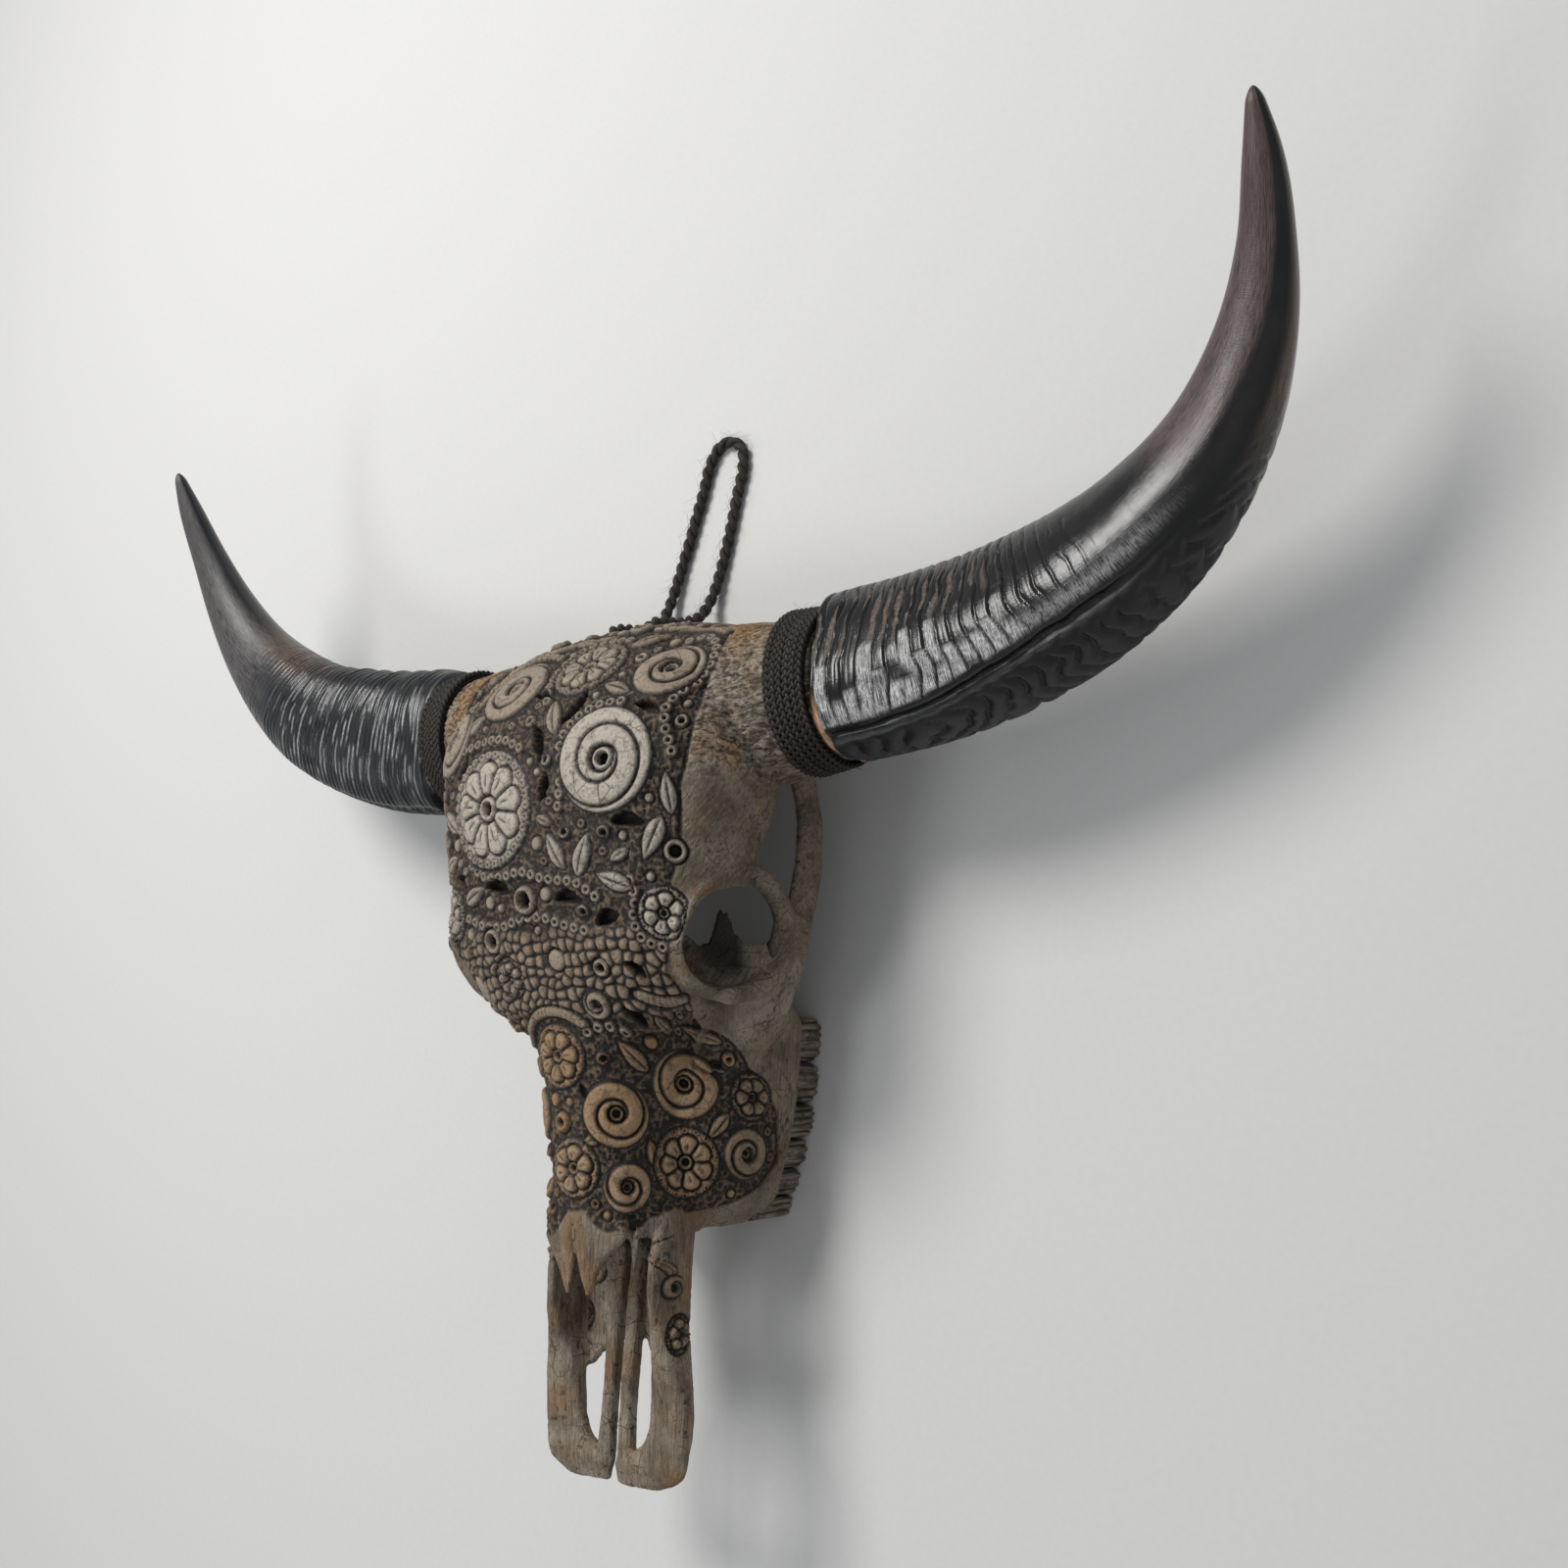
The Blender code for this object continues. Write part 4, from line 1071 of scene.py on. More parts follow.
def fill_in(panel, seed):
    """Packs small swellings, buds and scrolls into the ground that the larger motifs leave, largest first.

    A place is taken where its whole circle is still plain ground inside the carved zone.
    """
    rng = np.random.default_rng(seed)
    around = np.linspace(0, 2 * math.pi, 12, endpoint=False)
    for radius, tries in ((0.0125, 500), (0.0092, 900), (0.0066, 1600), (0.0046, 3200), (0.0032, 6000)):
        for u, v in np.column_stack([rng.uniform(-0.135, 0.135, tries), rng.uniform(0.142, 0.522, tries)]):
            if 0.256 < v < 0.304 and radius < 0.009:
                continue
            rim_u, rim_v = u + 1.12 * radius * np.cos(around), v + 1.12 * radius * np.sin(around)
            half = 0.55 * radius
            spots_u = np.concatenate([[u], rim_u, u + half * np.cos(around)])
            spots_v = np.concatenate([[v], rim_v, v + half * np.sin(around)])
            taken, cover = (panel.read(name, spots_u, spots_v) for name in ("taken", "cover"))
            if taken.max() > 0.02 or cover.min() < 0.98:
                continue
            warm = 0.75 * (1 - ease(0.235, 0.262, v)) + 0.1
            pale = rng.uniform(0.3, 0.75) * (0.75 if warm > 0.4 else 1.0)
            kind = rng.random()
            if radius > 0.008:
                if kind < 0.45:
                    volute(panel, u, v, radius, rng.choice((-1, 1)), 1.8, rng.uniform(0, 6), pale, warm, 0.4)
                elif kind < 0.8:
                    rosette(panel, u, v, radius, rng.integers(5, 8), rng.uniform(0, 6), pale, warm, 0.45)
                else:
                    leaf(panel, u, v, 2 * radius, 1.1 * radius, rng.uniform(0, 6), pale, warm)
            elif radius > 0.006 and kind < 0.5:
                leaf(panel, u, v, 2.1 * radius, 1.15 * radius, rng.uniform(0, 6), pale, warm)
            elif radius > 0.004 and kind < 0.35:
                volute(panel, u, v, radius, 1, 1.3, rng.uniform(0, 6), pale, warm, 0.4)
            else:
                boss(panel, u, v, radius, pale, warm, rng.choice((0.0, 0.36)), 0.0026)


def carved_face():
    """The relief: a worm-eaten ground, a field of pebbles between the orbits, and the motifs over them."""
    panel = Panel()
    across, ahead = panel.places()
    flat = np.column_stack([across.ravel(), ahead.ravel(), np.zeros(across.size)])
    cloud = grain(flat, 0.020, 101, 2).reshape(across.shape)
    wander = grain(flat, 0.0036, 103, 2).reshape(across.shape)
    worms = np.clip(1 - 3.2 * np.abs(wander), 0, 1)
    fine = grain(flat, 0.0016, 105).reshape(across.shape)
    edge = np.interp(ahead, *(np.array(CARVED_EDGE).T * MM))
    inside = ease(-0.0012, 0.0008, edge + 0.003 * cloud - np.abs(across))
    front = ease(0.1375, 0.1400, ahead + 0.010 * cloud - 0.006 * np.cos(across / 0.0105))
    inside = inside * front * (1 - ease(0.520, 0.530, ahead))
    everywhere = (slice(None), slice(None))
    near, rim = pebbled(across, ahead, 0.0068, 107)
    pebble = dome(np.clip(near / 0.0050, 0, 1))
    between = line(rim, 0.0008)
    stones = ease(0.250, 0.262, ahead) * (1 - ease(0.296, 0.312, ahead + 0.006 * cloud))
    small, _ = pebbled(across, ahead, 0.0034, 109)
    height = -0.0012 + 0.0009 * worms + 0.0003 * fine - 0.0008 * line(small, 0.0006)
    height = height + stones * (0.0004 + 0.0017 * pebble - 0.0012 * between - height)
    dirt = np.clip(0.70 - 0.50 * worms + 0.6 * line(small, 0.0007), 0, 1)
    dirt = dirt + stones * (between + 0.25 * line(near, 0.0008) - dirt)
    pale = 0.16 * worms + 0.35 * stones * pebble
    panel.lay(everywhere, inside, height=height, dirt=dirt, pale=pale, warm=0.25, taken=0.0)
    border = line(np.abs(across) - edge, 0.0011) * inside
    panel.add(everywhere, height=-0.0012 * border, dirt=0.7 * border)
    for points in RIBBONS:
        ribbon(panel, points, 0.0075, 0.4, 0.25, 0.0030)
    for points in BEAD_ROWS:
        beads(panel, points)
    for u, v, length, width, turn, pale, warm in LEAVES:
        leaf(panel, u * MM, v * MM, length * MM, width * MM, turn, pale, warm)
    for u, v, radius, petals, turn, pale, warm in ROSETTES:
        rosette(panel, u * MM, v * MM, radius * MM, petals, turn, pale, warm)
    for u, v, radius, hand, coils, turn, pale, warm in VOLUTES:
        volute(panel, u * MM, v * MM, radius * MM, hand, coils, turn, pale, warm)
    for u, v, radius, eye in HOLES:
        boss(panel, u * MM, v * MM, radius * MM, 0.5, 0.1, eye)
    for u, v, length, width, turn, depth in SLITS:
        slit(panel, u * MM, v * MM, length * MM, width * MM, turn, depth * MM)
    fill_in(panel, 131)
    for side in (-1, 1):
        leaf(panel, side * 0.072, 0.118, 0.030, 0.013, 0.15 * side, 0.3, 0.5)
        volute(panel, side * 0.074, 0.096, 0.0095, side, 1.6, 0.5, 0.3, 0.4, 0.35)
        rosette(panel, side * 0.079, 0.062, 0.0105, 5, 0.4, 0.35, 0.35, 0.3)
    layers = panel.layers
    worn = grain(flat, 0.0030, 111, 3).reshape(across.shape)
    layers["height"] += 0.00022 * worn * layers["cover"]
    # Painted shade: spots lower than the surface round them are darkened, on top of the dirt in the carved
    # grooves.
    painted_recess_shade = np.clip((blurred(layers["height"], 4) - layers["height"]) / 0.0011, 0, 1)
    layers["dirt"] = np.clip(layers["dirt"] + 0.8 * painted_recess_shade * layers["cover"], 0, 1)
    return panel


def with_shapes(obj, shape):
    """Puts more closed shapes into the object's mesh, to be fused with it."""
    added = made("added", shape)
    work = bmesh.new()
    work.from_mesh(obj.data)
    work.from_mesh(added.data)
    work.to_mesh(obj.data)
    work.free()
    bpy.data.objects.remove(added)


def fibrous(points, way, length, width, seed, octaves=3):
    """Noise drawn out into fibres along this direction."""
    way = unit(np.array(way, float))
    side = unit(np.cross(way, (0.3, 0.5, 0.8)))
    top = np.cross(way, side)
    drawn = np.column_stack([points @ way / length, points @ side / width, points @ top / width])
    return grain(drawn, 1.0, seed, octaves)


def seam(points, track, seed):
    """A suture: how near each point is to a wandering line through the track's points, from 0 to 1."""
    middle = along(track, 160)
    low, high = middle.min(0) - 0.006, middle.max(0) + 0.006
    close = np.flatnonzero(((points > low) & (points < high)).all(1))
    near = np.zeros(len(points))
    if len(close):
        wander = 0.0030 * np.column_stack([grain(points[close], 0.0060, seed + i, 2) for i in range(3)])
        apart = np.linalg.norm((points[close] + wander)[:, None] - middle[None], axis=2).min(1)
        near[close] = line(apart, 0.0007)
    return near


SEAMS = (
    # cheek, from the orbit's rim down to the tooth row
    (
        (0.0991, 0.2734, 0.074), (0.0949, 0.2619, 0.0751), (0.0915, 0.2548, 0.074),
        (0.0858, 0.2458, 0.0751), (0.0739, 0.2282, 0.0562), (0.0728, 0.2062, 0.0478),
    ),
    # across the arch behind the orbit
    ((0.1059, 0.3192, 0.0839), (0.1000, 0.3227, 0.0634), (0.1026, 0.3290, 0.0551), (0.1030, 0.3344, 0.0458)),
    # between the nasal bones
    ((0.0, 0.118, 0.1325), (0.0008, 0.128, 0.1325), (-0.0006, 0.138, 0.1335), (0.0, 0.146, 0.1345)),
)


def bare_grain(spots, inside, cover):
    """The bare bone's own surface: its depth, and its dirt and painted shade, paleness and warmth.

    Rough ripples lie across the roots of the horns, fibres fan over the temples, streaks run
    along the nose and jaw, fine cracks follow the fibres, and sutures part the bones.
    """
    left = np.column_stack([np.abs(spots[:, 0]), spots[:, 1:]])
    x, y, z = left.T
    bare = 1 - cover
    root = ease(0.082, 0.100, x) * band(0.375, 0.400, 0.470, 0.485, y) * ease(0.055, 0.075, z)
    sloped = left + 0.0036 * grain(spots, 0.0065, 407)[:, None]
    ripple = fibrous(sloped, (0.78, 0.03, -0.62), 0.012, 0.0034, 401, 2)
    ripple = np.clip(1 - 2.4 * np.abs(ripple), 0, 1)
    temple = ease(0.080, 0.095, x) * ease(0.325, 0.345, y) * (1 - root)
    fan = fibrous(spots, (0.55, 0.75, -0.35), 0.014, 0.0012, 411)
    jaw = 1 - ease(0.245, 0.275, y)
    streak = fibrous(spots, (0, 1, 0), 0.016, 0.0011, 421)
    coarse = fibrous(spots, (0.1, 1, 0), 0.030, 0.0036, 431, 2)
    depth = bare * (
        root * 0.00100 * (ripple - 0.45)
        + temple * (0.00026 * fan)
        + jaw * (0.00026 * streak + 0.00035 * coarse)
        + (1 - jaw) * (1 - temple) * 0.00016 * fan
    )
    jaw_cracks = fibrous(spots, (0, 1, 0.1), 0.030, 0.0050, 441, 2)
    temple_cracks = fibrous(spots, (0.6, 0.7, -0.3), 0.026, 0.0050, 443, 2)
    crack_way = np.where(jaw > 0.5, jaw_cracks, temple_cracks)
    crack = line(crack_way, 0.022) * ease(0.10, 0.35, grain(spots, 0.018, 445)) * bare
    sutures = np.zeros(len(spots))
    mirror = spots * np.array([-1, 1, 1])
    for i, track in enumerate(SEAMS):
        sutures = np.maximum(sutures, seam(spots, track, 451 + 3 * i))
        sutures = np.maximum(sutures, seam(mirror, track, 471 + 3 * i))
    pits = ease(0.42, 0.62, grain(spots, 0.0030, 461, 2)) * ease(0.0, 0.4, grain(spots, 0.020, 463)) * bare
    depth = depth - 0.00055 * crack - 0.0007 * sutures * bare - 0.0006 * pits
    # Painted shade: deep inside the head's outline, and within the orbits with their remnant plates, the bone is
    # darkened and loses its paleness; the orbit's floor shelf is spared most of it.
    deep = ease(0.012, 0.040, inside)
    in_orbit = np.linalg.norm((left - (0.070, 0.306, 0.085)) / (0.032, 0.034, 0.030), axis=1)
    shelf = ease(0.008, -0.002, np.abs(left @ PHOTO_BACK - 0.0805)) * ease(0.083, 0.090, x)
    deep = np.maximum(deep, (1 - ease(0.75, 1.0, in_orbit)) * (1 - 0.9 * shelf) * 1.15)
    blotch = grain(spots, 0.022, 465, 3)
    dirt = bare * (
        0.75 * crack
        + 0.6 * sutures
        + 0.6 * pits
        + root * 0.45 * ease(0.25, 0.0, ripple)
        + 0.16 * ease(0.1, 0.6, -fan) * (1 - jaw)
        + 0.20 * ease(0.1, 0.6, -streak) * jaw
    )
    dirt = np.maximum(dirt, deep * (0.62 + 0.25 * blotch))
    pale = bare * (
        root * 0.35 * ease(0.45, 0.95, ripple)
        + 0.22 * ease(0.2, 0.6, streak) * jaw
        + 0.18 * ease(0.2, 0.6, fan) * (1 - jaw)
        + 0.25 * ease(0.15, 0.5, blotch)
    ) * (1 - deep)
    ochre = line(np.hypot(np.hypot(x - 0.104, y - 0.462), z - 0.112), 0.018) + 0.6 * root * ease(0.1, 0.5, blotch)
    warm = ochre + 0.45 * ease(0.0, 0.5, -blotch) * jaw + 0.25 * ease(0.1, 0.5, grain(spots, 0.012, 467, 2))
    warm = bare * np.clip(warm, 0, 1)
    return depth, {"dirt": dirt, "pale": pale, "warm": warm, "rippled": root * bare, "nosed": jaw * bare}


def carve(bone):
    """Moves the bone's points by the relief and the bone's own grain, and keeps the stains and painted shade on
    them.
    """
    mesh = bone.data
    spots, facing = corners(mesh), outward(mesh)
    u, v, inside = chart(spots)
    radial = unit(np.column_stack([spots[:, 0], np.zeros(len(spots)), spots[:, 2] - CHART_AXIS]))
    outer = (1 - ease(0.004, 0.008, inside)) * ease(-0.1, 0.25, (radial * facing).sum(1))
    outer = outer * (1 - ease(0.122, 0.125, np.abs(spots[:, 0])))
    panel = carved_face()
    cover = panel.read("cover", u, v) * outer
    depth = panel.read("height", u, v) * outer
    marks = {name: panel.read(name, u, v) * outer for name in ("dirt", "pale", "warm")}
    marks.update(rippled=0.0, nosed=0.0)
    own, own_marks = bare_grain(spots, inside, cover)
    lumps = grain(spots, 0.016, 201, 2) * 0.0006 + grain(spots, 0.0035, 203, 2) * 0.00018
    depth = depth + own + lumps * (1 - 0.6 * cover)
    marks = {name: np.clip(values + own_marks[name], 0, 1) for name, values in marks.items()}
    moved = spots + facing * depth[:, None]
    moved[:, 2] = np.maximum(moved[:, 2], 0.0002)
    mesh.vertices.foreach_set("co", (moved + HOME).astype(np.float32).ravel())
    mesh.update()
    for name, values in {**marks, "carved": cover}.items():
        keep(mesh, name, values)


def parted(mesh, name, cuts):
    """The part of the closed mesh on one side of each cut, closed again there, with its smooth normals kept.

    Each cut is a point and a direction, and the part beyond it goes.
    """
    work = bmesh.new()
    work.from_mesh(mesh)
    for place, way in cuts:
        everything = work.verts[:] + work.edges[:] + work.faces[:]
        cut = bmesh.ops.bisect_plane(work, geom=everything, plane_co=place, plane_no=way, clear_outer=True)
        edges = [part for part in cut["geom_cut"] if isinstance(part, bmesh.types.BMEdge)]
        bmesh.ops.triangle_fill(work, edges=edges, use_beauty=True)
    bmesh.ops.recalc_face_normals(work, faces=work.faces[:])
    part = bpy.data.meshes.new(name)
    work.to_mesh(part)
    work.free()
    return placed(name, part)


def skull_bone():
    """All the bone: solids fused, hollowed, softened, carved, thinned, and parted in three closed pieces."""
    bone = grown("skull_bone", bone_shapes())
    hollows = grown("hollows", bone_hollows())
    cut = bone.modifiers.new("cut", "BOOLEAN")
    cut.operation = "DIFFERENCE"
    cut.solver = "MANIFOLD"
    cut.object = hollows
    applied(bone)
    left_extras = [*orbit_remnants(), orbit_floor(), *nasal_prongs()]
    with_shapes(bone, heap(left_extras + [mirrored(shape) for shape in left_extras]))
    fuse(bone)
    soften = bone.modifiers.new("soften", "SMOOTH")
    soften.iterations = 6
    applied(bone)
    bpy.data.objects.remove(hollows)
    carve(bone)
    thin = bone.modifiers.new("thin", "DECIMATE")
    thin.ratio = BONE_TRIANGLES / (2 * len(bone.data.polygons))
    joined = bone.modifiers.new("joined", "WELD")
    joined.merge_threshold = SLIVER
    applied(bone)
    across, level = BONE_CUTS
    across_place, level_place = (0, across - ORIGIN_FROM_NOSE, 0), (0, 0, level)
    mesh = bone.data
    smooth = mesh.attributes.new("smooth_way", "FLOAT_VECTOR", "POINT")
    smooth.data.foreach_set("vector", outward(mesh).astype(np.float32).ravel())
    front = parted(mesh, "skull_nose", [(across_place, (0, 1, 0))])
    crown = parted(mesh, "skull_brow", [(across_place, (0, -1, 0)), (level_place, (0, 0, -1))])
    under = parted(mesh, "skull_base", [(across_place, (0, -1, 0)), (level_place, (0, 0, 1))])
    bpy.data.objects.remove(bone)
    return [front, crown, under]


def path_frames(path, up=(0.0, 0.0, 1.0)):
    """Directions ahead, to the side and up at each point of a path, carried along without twisting."""
    ahead = unit(np.gradient(path, axis=0))
    side = np.empty_like(ahead)
    last = unit(np.cross(ahead[0], np.array(up)))
    for i, way in enumerate(ahead):
        last = unit(last - way * last.dot(way))
        side[i] = last
    return ahead, side, np.cross(side, ahead)


def strand(path, radius, sides=8):
    """A round strand along a path: a circle of this radius at each point, closed at both ends."""
    _, side, top = path_frames(path)
    turn = np.linspace(0, 2 * math.pi, sides, endpoint=False)
    radius = np.broadcast_to(np.asarray(radius, float), (len(path),))
    ring = side[:, None] * np.cos(turn)[None, :, None] + top[:, None] * np.sin(turn)[None, :, None]
    return skin(path[:, None] + ring * radius[:, None, None])


def twisted(path, plies, offset, radius, pitch, sides=12, start=0.0):
    """Plies round a path: each keeps this offset from it and goes once round it in each pitch."""
    _, side, top = path_frames(path)
    run = run_of(path)
    shapes = []
    for ply in range(plies):
        turn = 2 * math.pi * (run / pitch + ply / plies) + start
        centre = path + offset * (side * np.cos(turn)[:, None] + top * np.sin(turn)[:, None])
        shapes.append(strand(centre, radius, sides))
    return shapes


def hairs(path, reach, count, length, thickness, seed, pieces=7):
    """Stray fibres on a cord: thin tapered strands that leave it at a slant and bend over at random."""
    rng = np.random.default_rng(seed)
    ahead, side, top = path_frames(path)
    shapes = []
    for _ in range(count):
        i = rng.integers(1, len(path) - 1)
        turn = rng.uniform(0, 2 * math.pi)
        out = side[i] * math.cos(turn) + top[i] * math.sin(turn)
        way = unit(ahead[i] * rng.choice((-1, 1)) * rng.uniform(0.6, 1.6) + out * rng.uniform(0.3, 0.9))
        bend = unit(rng.normal(size=3)) * rng.uniform(0.2, 0.7)
        t = np.linspace(0, 1, pieces)[:, None]
        size = length * rng.uniform(0.4, 1.0)
        line = path[i] + out * reach + size * (way * t + bend * t * t)
        line[:, 2] = np.maximum(line[:, 2], 0.0004)
        shapes.append(strand(line, thickness * np.linspace(1, 0.35, pieces), 3))
    return shapes


def turned(right, back, place):
    """The matrix of a camera or lamp at this place, by the directions to its right and behind it."""
    matrix = np.eye(4)
    matrix[:3] = np.column_stack([right, np.cross(back, right), back, place])
    return Matrix(matrix.tolist())


def photo_camera():
    """The photograph's line of sight: from above the animal's left cheek, looking down on the face."""
    lens = bpy.data.cameras.new("camera")
    lens.lens = 36
    lens.sensor_width = 36
    lens.clip_end = 30
    camera = placed("camera", lens)
    right, back = unit(np.array(PHOTO_RIGHT)), unit(np.array(PHOTO_BACK))
    camera.matrix_world = turned(right, back, (0.6266, -0.0783, 0.7795))
    bpy.context.scene.camera = camera


def hanging_cord():
    """The loop of two-ply cord behind the crown, with stray fibres."""
    path = along(CORD_ROUTE, 430)
    shapes = twisted(path, 2, 0.00168, 0.00215, CORD_TWIST, sides=16)
    cord = made("twisted_cord", heap(shapes))
    fibres = made("twisted_cord_fibres", heap(hairs(path[60:370], 0.0030, 420, 0.011, 0.00011, 5)))
    for piece in (cord, fibres):
        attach(piece, "root")
        piece.data.shade_smooth()
    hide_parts("hanging_cord")
    length_of(along(CORD_ROUTE, 56))
    [tuple(point) for point in along(CORD_ROUTE, 120) + HOME]
    return [cord, fibres]


def worn_ridge(t):
    """Where the left horn's ridge lies round it, from root to tip: it winds up the middle and back at the tip."""
    return np.radians(52 + 10 * ease(0.0, 0.35, t) - 34 * ease(0.45, 0.90, t))


def ringed_ridge(t):
    """Where the right horn's ridge lies round it."""
    return np.radians(27 + 4 * ease(0.0, 0.35, t))


def horn(name, carve_horn, ridge_at, flatness):
    """A horn sheath on the left side: rings of a three-cornered section along its centre line.

    The radius at each point is the section's own, drawn in at the tip and at the lip under the
    binding, plus the growth that carve_horn works out in metres. It also returns what the
    material needs to know: how worn, flaked and grooved the surface is there, and where
    highlights and reflections are painted on it.
    """
    rings, sides = HORN_RINGS, HORN_SIDES
    rows = along(np.column_stack([HORN_LINE, HORN_HALF_WIDTHS, HORN_HALF_DEPTHS]), rings)
    run = run_of(rows[:, :3])
    ahead = unit(np.gradient(rows[:, :3], axis=0))
    face = unit(np.cross(np.cross(ahead, np.array([0.0, 0.0, 1.0])), ahead))
    out = np.cross(ahead, face)
    t = run / run[-1]
    turn = np.linspace(-0.5 * math.pi, 1.5 * math.pi, sides, endpoint=False)
    corner = turn[None] - ridge_at(t)[:, None]
    cornered = 1 + flatness * (1 - 0.8 * t)[:, None] * np.cos(3 * corner)
    ridge = 0.035 * (ease(0.02, 0.2, t) * (1 - 0.5 * t))[:, None] * np.exp(-((corner / 0.16) ** 2))
    tip = np.sqrt(np.clip(1 - np.clip((run - run[-1]) / TIP_ROUND + 1, 0, 1) ** 2, 0.02, 1))
    lip = LIP_DEEP + (1 - LIP_DEEP) * ease(0.0, LIP_LENGTH, run)
    growth, marks = carve_horn(np.repeat(run, sides), np.tile(turn, rings), run[-1])
    growth = growth.reshape(rings, sides)
    shape = (cornered + ridge) * (tip * lip)[:, None]
    wide = rows[:, 3, None] * shape + growth
    deep = rows[:, 4, None] * shape + growth
    places = (
        rows[:, None, :3]
        + out[:, None] * (wide * np.cos(turn))[..., None]
        + face[:, None] * (deep * np.sin(turn))[..., None]
    )
    obj = made(name, skin(places))
    for mark, values in marks.items():
        keep(obj.data, mark, np.concatenate([values, [values[:sides].mean(), values[-sides:].mean()]]))
    return obj


def worn_horn(run, turn, length):
    """The left horn's surface.

    A flat face crossed by uneven growth grooves ends at a ridge. Narrow worn strips run beside
    the grooves in its upper half, and above the ridge each ring is pale, scraped and partly a
    painted reflection, with a painted highlight along the ridge towards the bend. Under the ridge
    the horn is undercut, and the lower face hangs in wavy folds. The tip is smooth.
    """
    t = run / length
    none = np.zeros(len(run))
    ring = np.column_stack([1.7 * np.cos(turn), 1.7 * np.sin(turn), run * 22])
    wander = grain(ring, 1.0, 11, 2)
    rough = grain(np.column_stack([6 * np.cos(turn), 6 * np.sin(turn), run * 90]), 1.0, 15, 2)
    fine = grain(np.column_stack([3 * np.cos(turn), 3 * np.sin(turn), run * 260]), 1.0, 12, 3)
    from_ridge = turn - worn_ridge(t) + 0.05 * wander
    base = 1 - ease(0.30, 0.46, t + 0.03 * wander)
    above = band(0.0, 0.10, 2.3, 3.0, from_ridge)
    phase = run / 0.0083 + 0.80 * wander + 0.10 * rough - 0.35 * ease(0.5, 0.0, from_ridge)
    which = np.rint(phase)
    strength = scattered(np.column_stack([which, none, none]), 31)
    reach = grain(np.column_stack([turn * 1.5, which * 7.3, none]), 1.0, 32, 2)
    groove = crest(phase, 5) * np.clip(0.45 + 0.8 * strength + 0.7 * reach, 0, 1.25)
    minor = crest(run / 0.0027 + 1.2 * wander + 0.2 * turn, 3) * ease(0.0, 0.5, grain(ring + 3, 0.6, 14))
    below = band(-2.0, -1.5, -0.24, -0.12, from_ridge)
    hang = 1 - ease(0.46, 0.70, t)
    folds = crest(run / 0.0115 + 1.3 * wander + 0.25 * rough + 0.6 * np.sin(2.2 * turn + 18 * t), 1.4)
    under = line(from_ridge + 0.14 + 0.03 * rough, 0.075)
    under = under * (1 - ease(0.36, 0.60, t)) * ease(0.003, 0.012, run)
    strip = np.floor(phase)
    share = phase - strip
    chosen = scattered(np.column_stack([strip, none, none]), 33)
    patch = grain(np.column_stack([turn * 2.6, strip * 5.1, none]), 1.0, 34, 3)
    beside = 0.20 * chosen + 0.34 * patch + 0.16 * rough + 0.03 - np.abs(share - 0.74)
    # On this horn the mark holds flaking only.
    flake_and_sheen = ease(0.0, 0.05, beside) * band(0.62, 0.95, 1.75, 2.05, from_ridge) * (1 - ease(0.22, 0.34, t))
    limit = 0.44 + 0.50 * (scattered(np.column_stack([strip, none, none]), 35) - 0.4) + 0.30 * patch
    # Pale band above the ridge: scraping, and partly a painted reflection.
    scraped_and_sheen = ease(0.01, 0.05, from_ridge) * (1 - ease(-0.03, 0.04, from_ridge - limit))
    scraped_and_sheen = scraped_and_sheen * ease(0.0068, 0.0078, run) * (1 - ease(0.27, 0.34, t))
    scraped_and_sheen = scraped_and_sheen * (1 - np.clip(1.7 * groove, 0, 1)) * ease(-0.55, 0.05, rough + 0.5 * patch)
    # Painted highlight along the ridge, beyond the scraped band towards the bend.
    ridge_highlight = 0.5 * line(from_ridge - 0.12, 0.10) * band(0.25, 0.32, 0.42, 0.58, t)
    growth = (
        -0.0019 * groove * base * above
        - 0.00025 * minor * base * above
        + 0.0004 * (share - 0.5) * base * above
        - 0.0030 * folds * below * hang * ease(-0.20, -0.50, from_ridge)
        - 0.0046 * under
        - 0.0005 * flake_and_sheen
        + 0.0007 * wander * (1 - 0.6 * t)
        + 0.00016 * fine * (1 - ease(0.4, 0.7, t))
    )
    grooved = (1.4 * groove + 0.2 * minor) * base * above + 0.9 * folds * below * hang + under
    smooth_part, ragged = t + 0.02 * rough, 0.0008 * rough
    bare_root = (1 - ease(0.0068, 0.0078, run - ragged)) * band(-0.35, -0.05, 1.0, 1.4, turn)
    return growth, {
        "groove": np.clip(grooved, 0, 1),
        "flake_and_sheen": flake_and_sheen,
        "scraped_and_sheen": np.clip(scraped_and_sheen + ridge_highlight, 0, 1),
        "dull": below * hang,
        "inner": ease(0.35, 0.6, from_ridge) * (1 - ease(2.9, 3.4, turn)) * ease(0.50, 0.60, smooth_part),
        "outer": band(-1.6, -1.1, -0.38, -0.12, from_ridge) * ease(0.58, 0.70, smooth_part),
        "reveal": bare_root,
        "run": run * 1000,
        "turn": turn,
    }


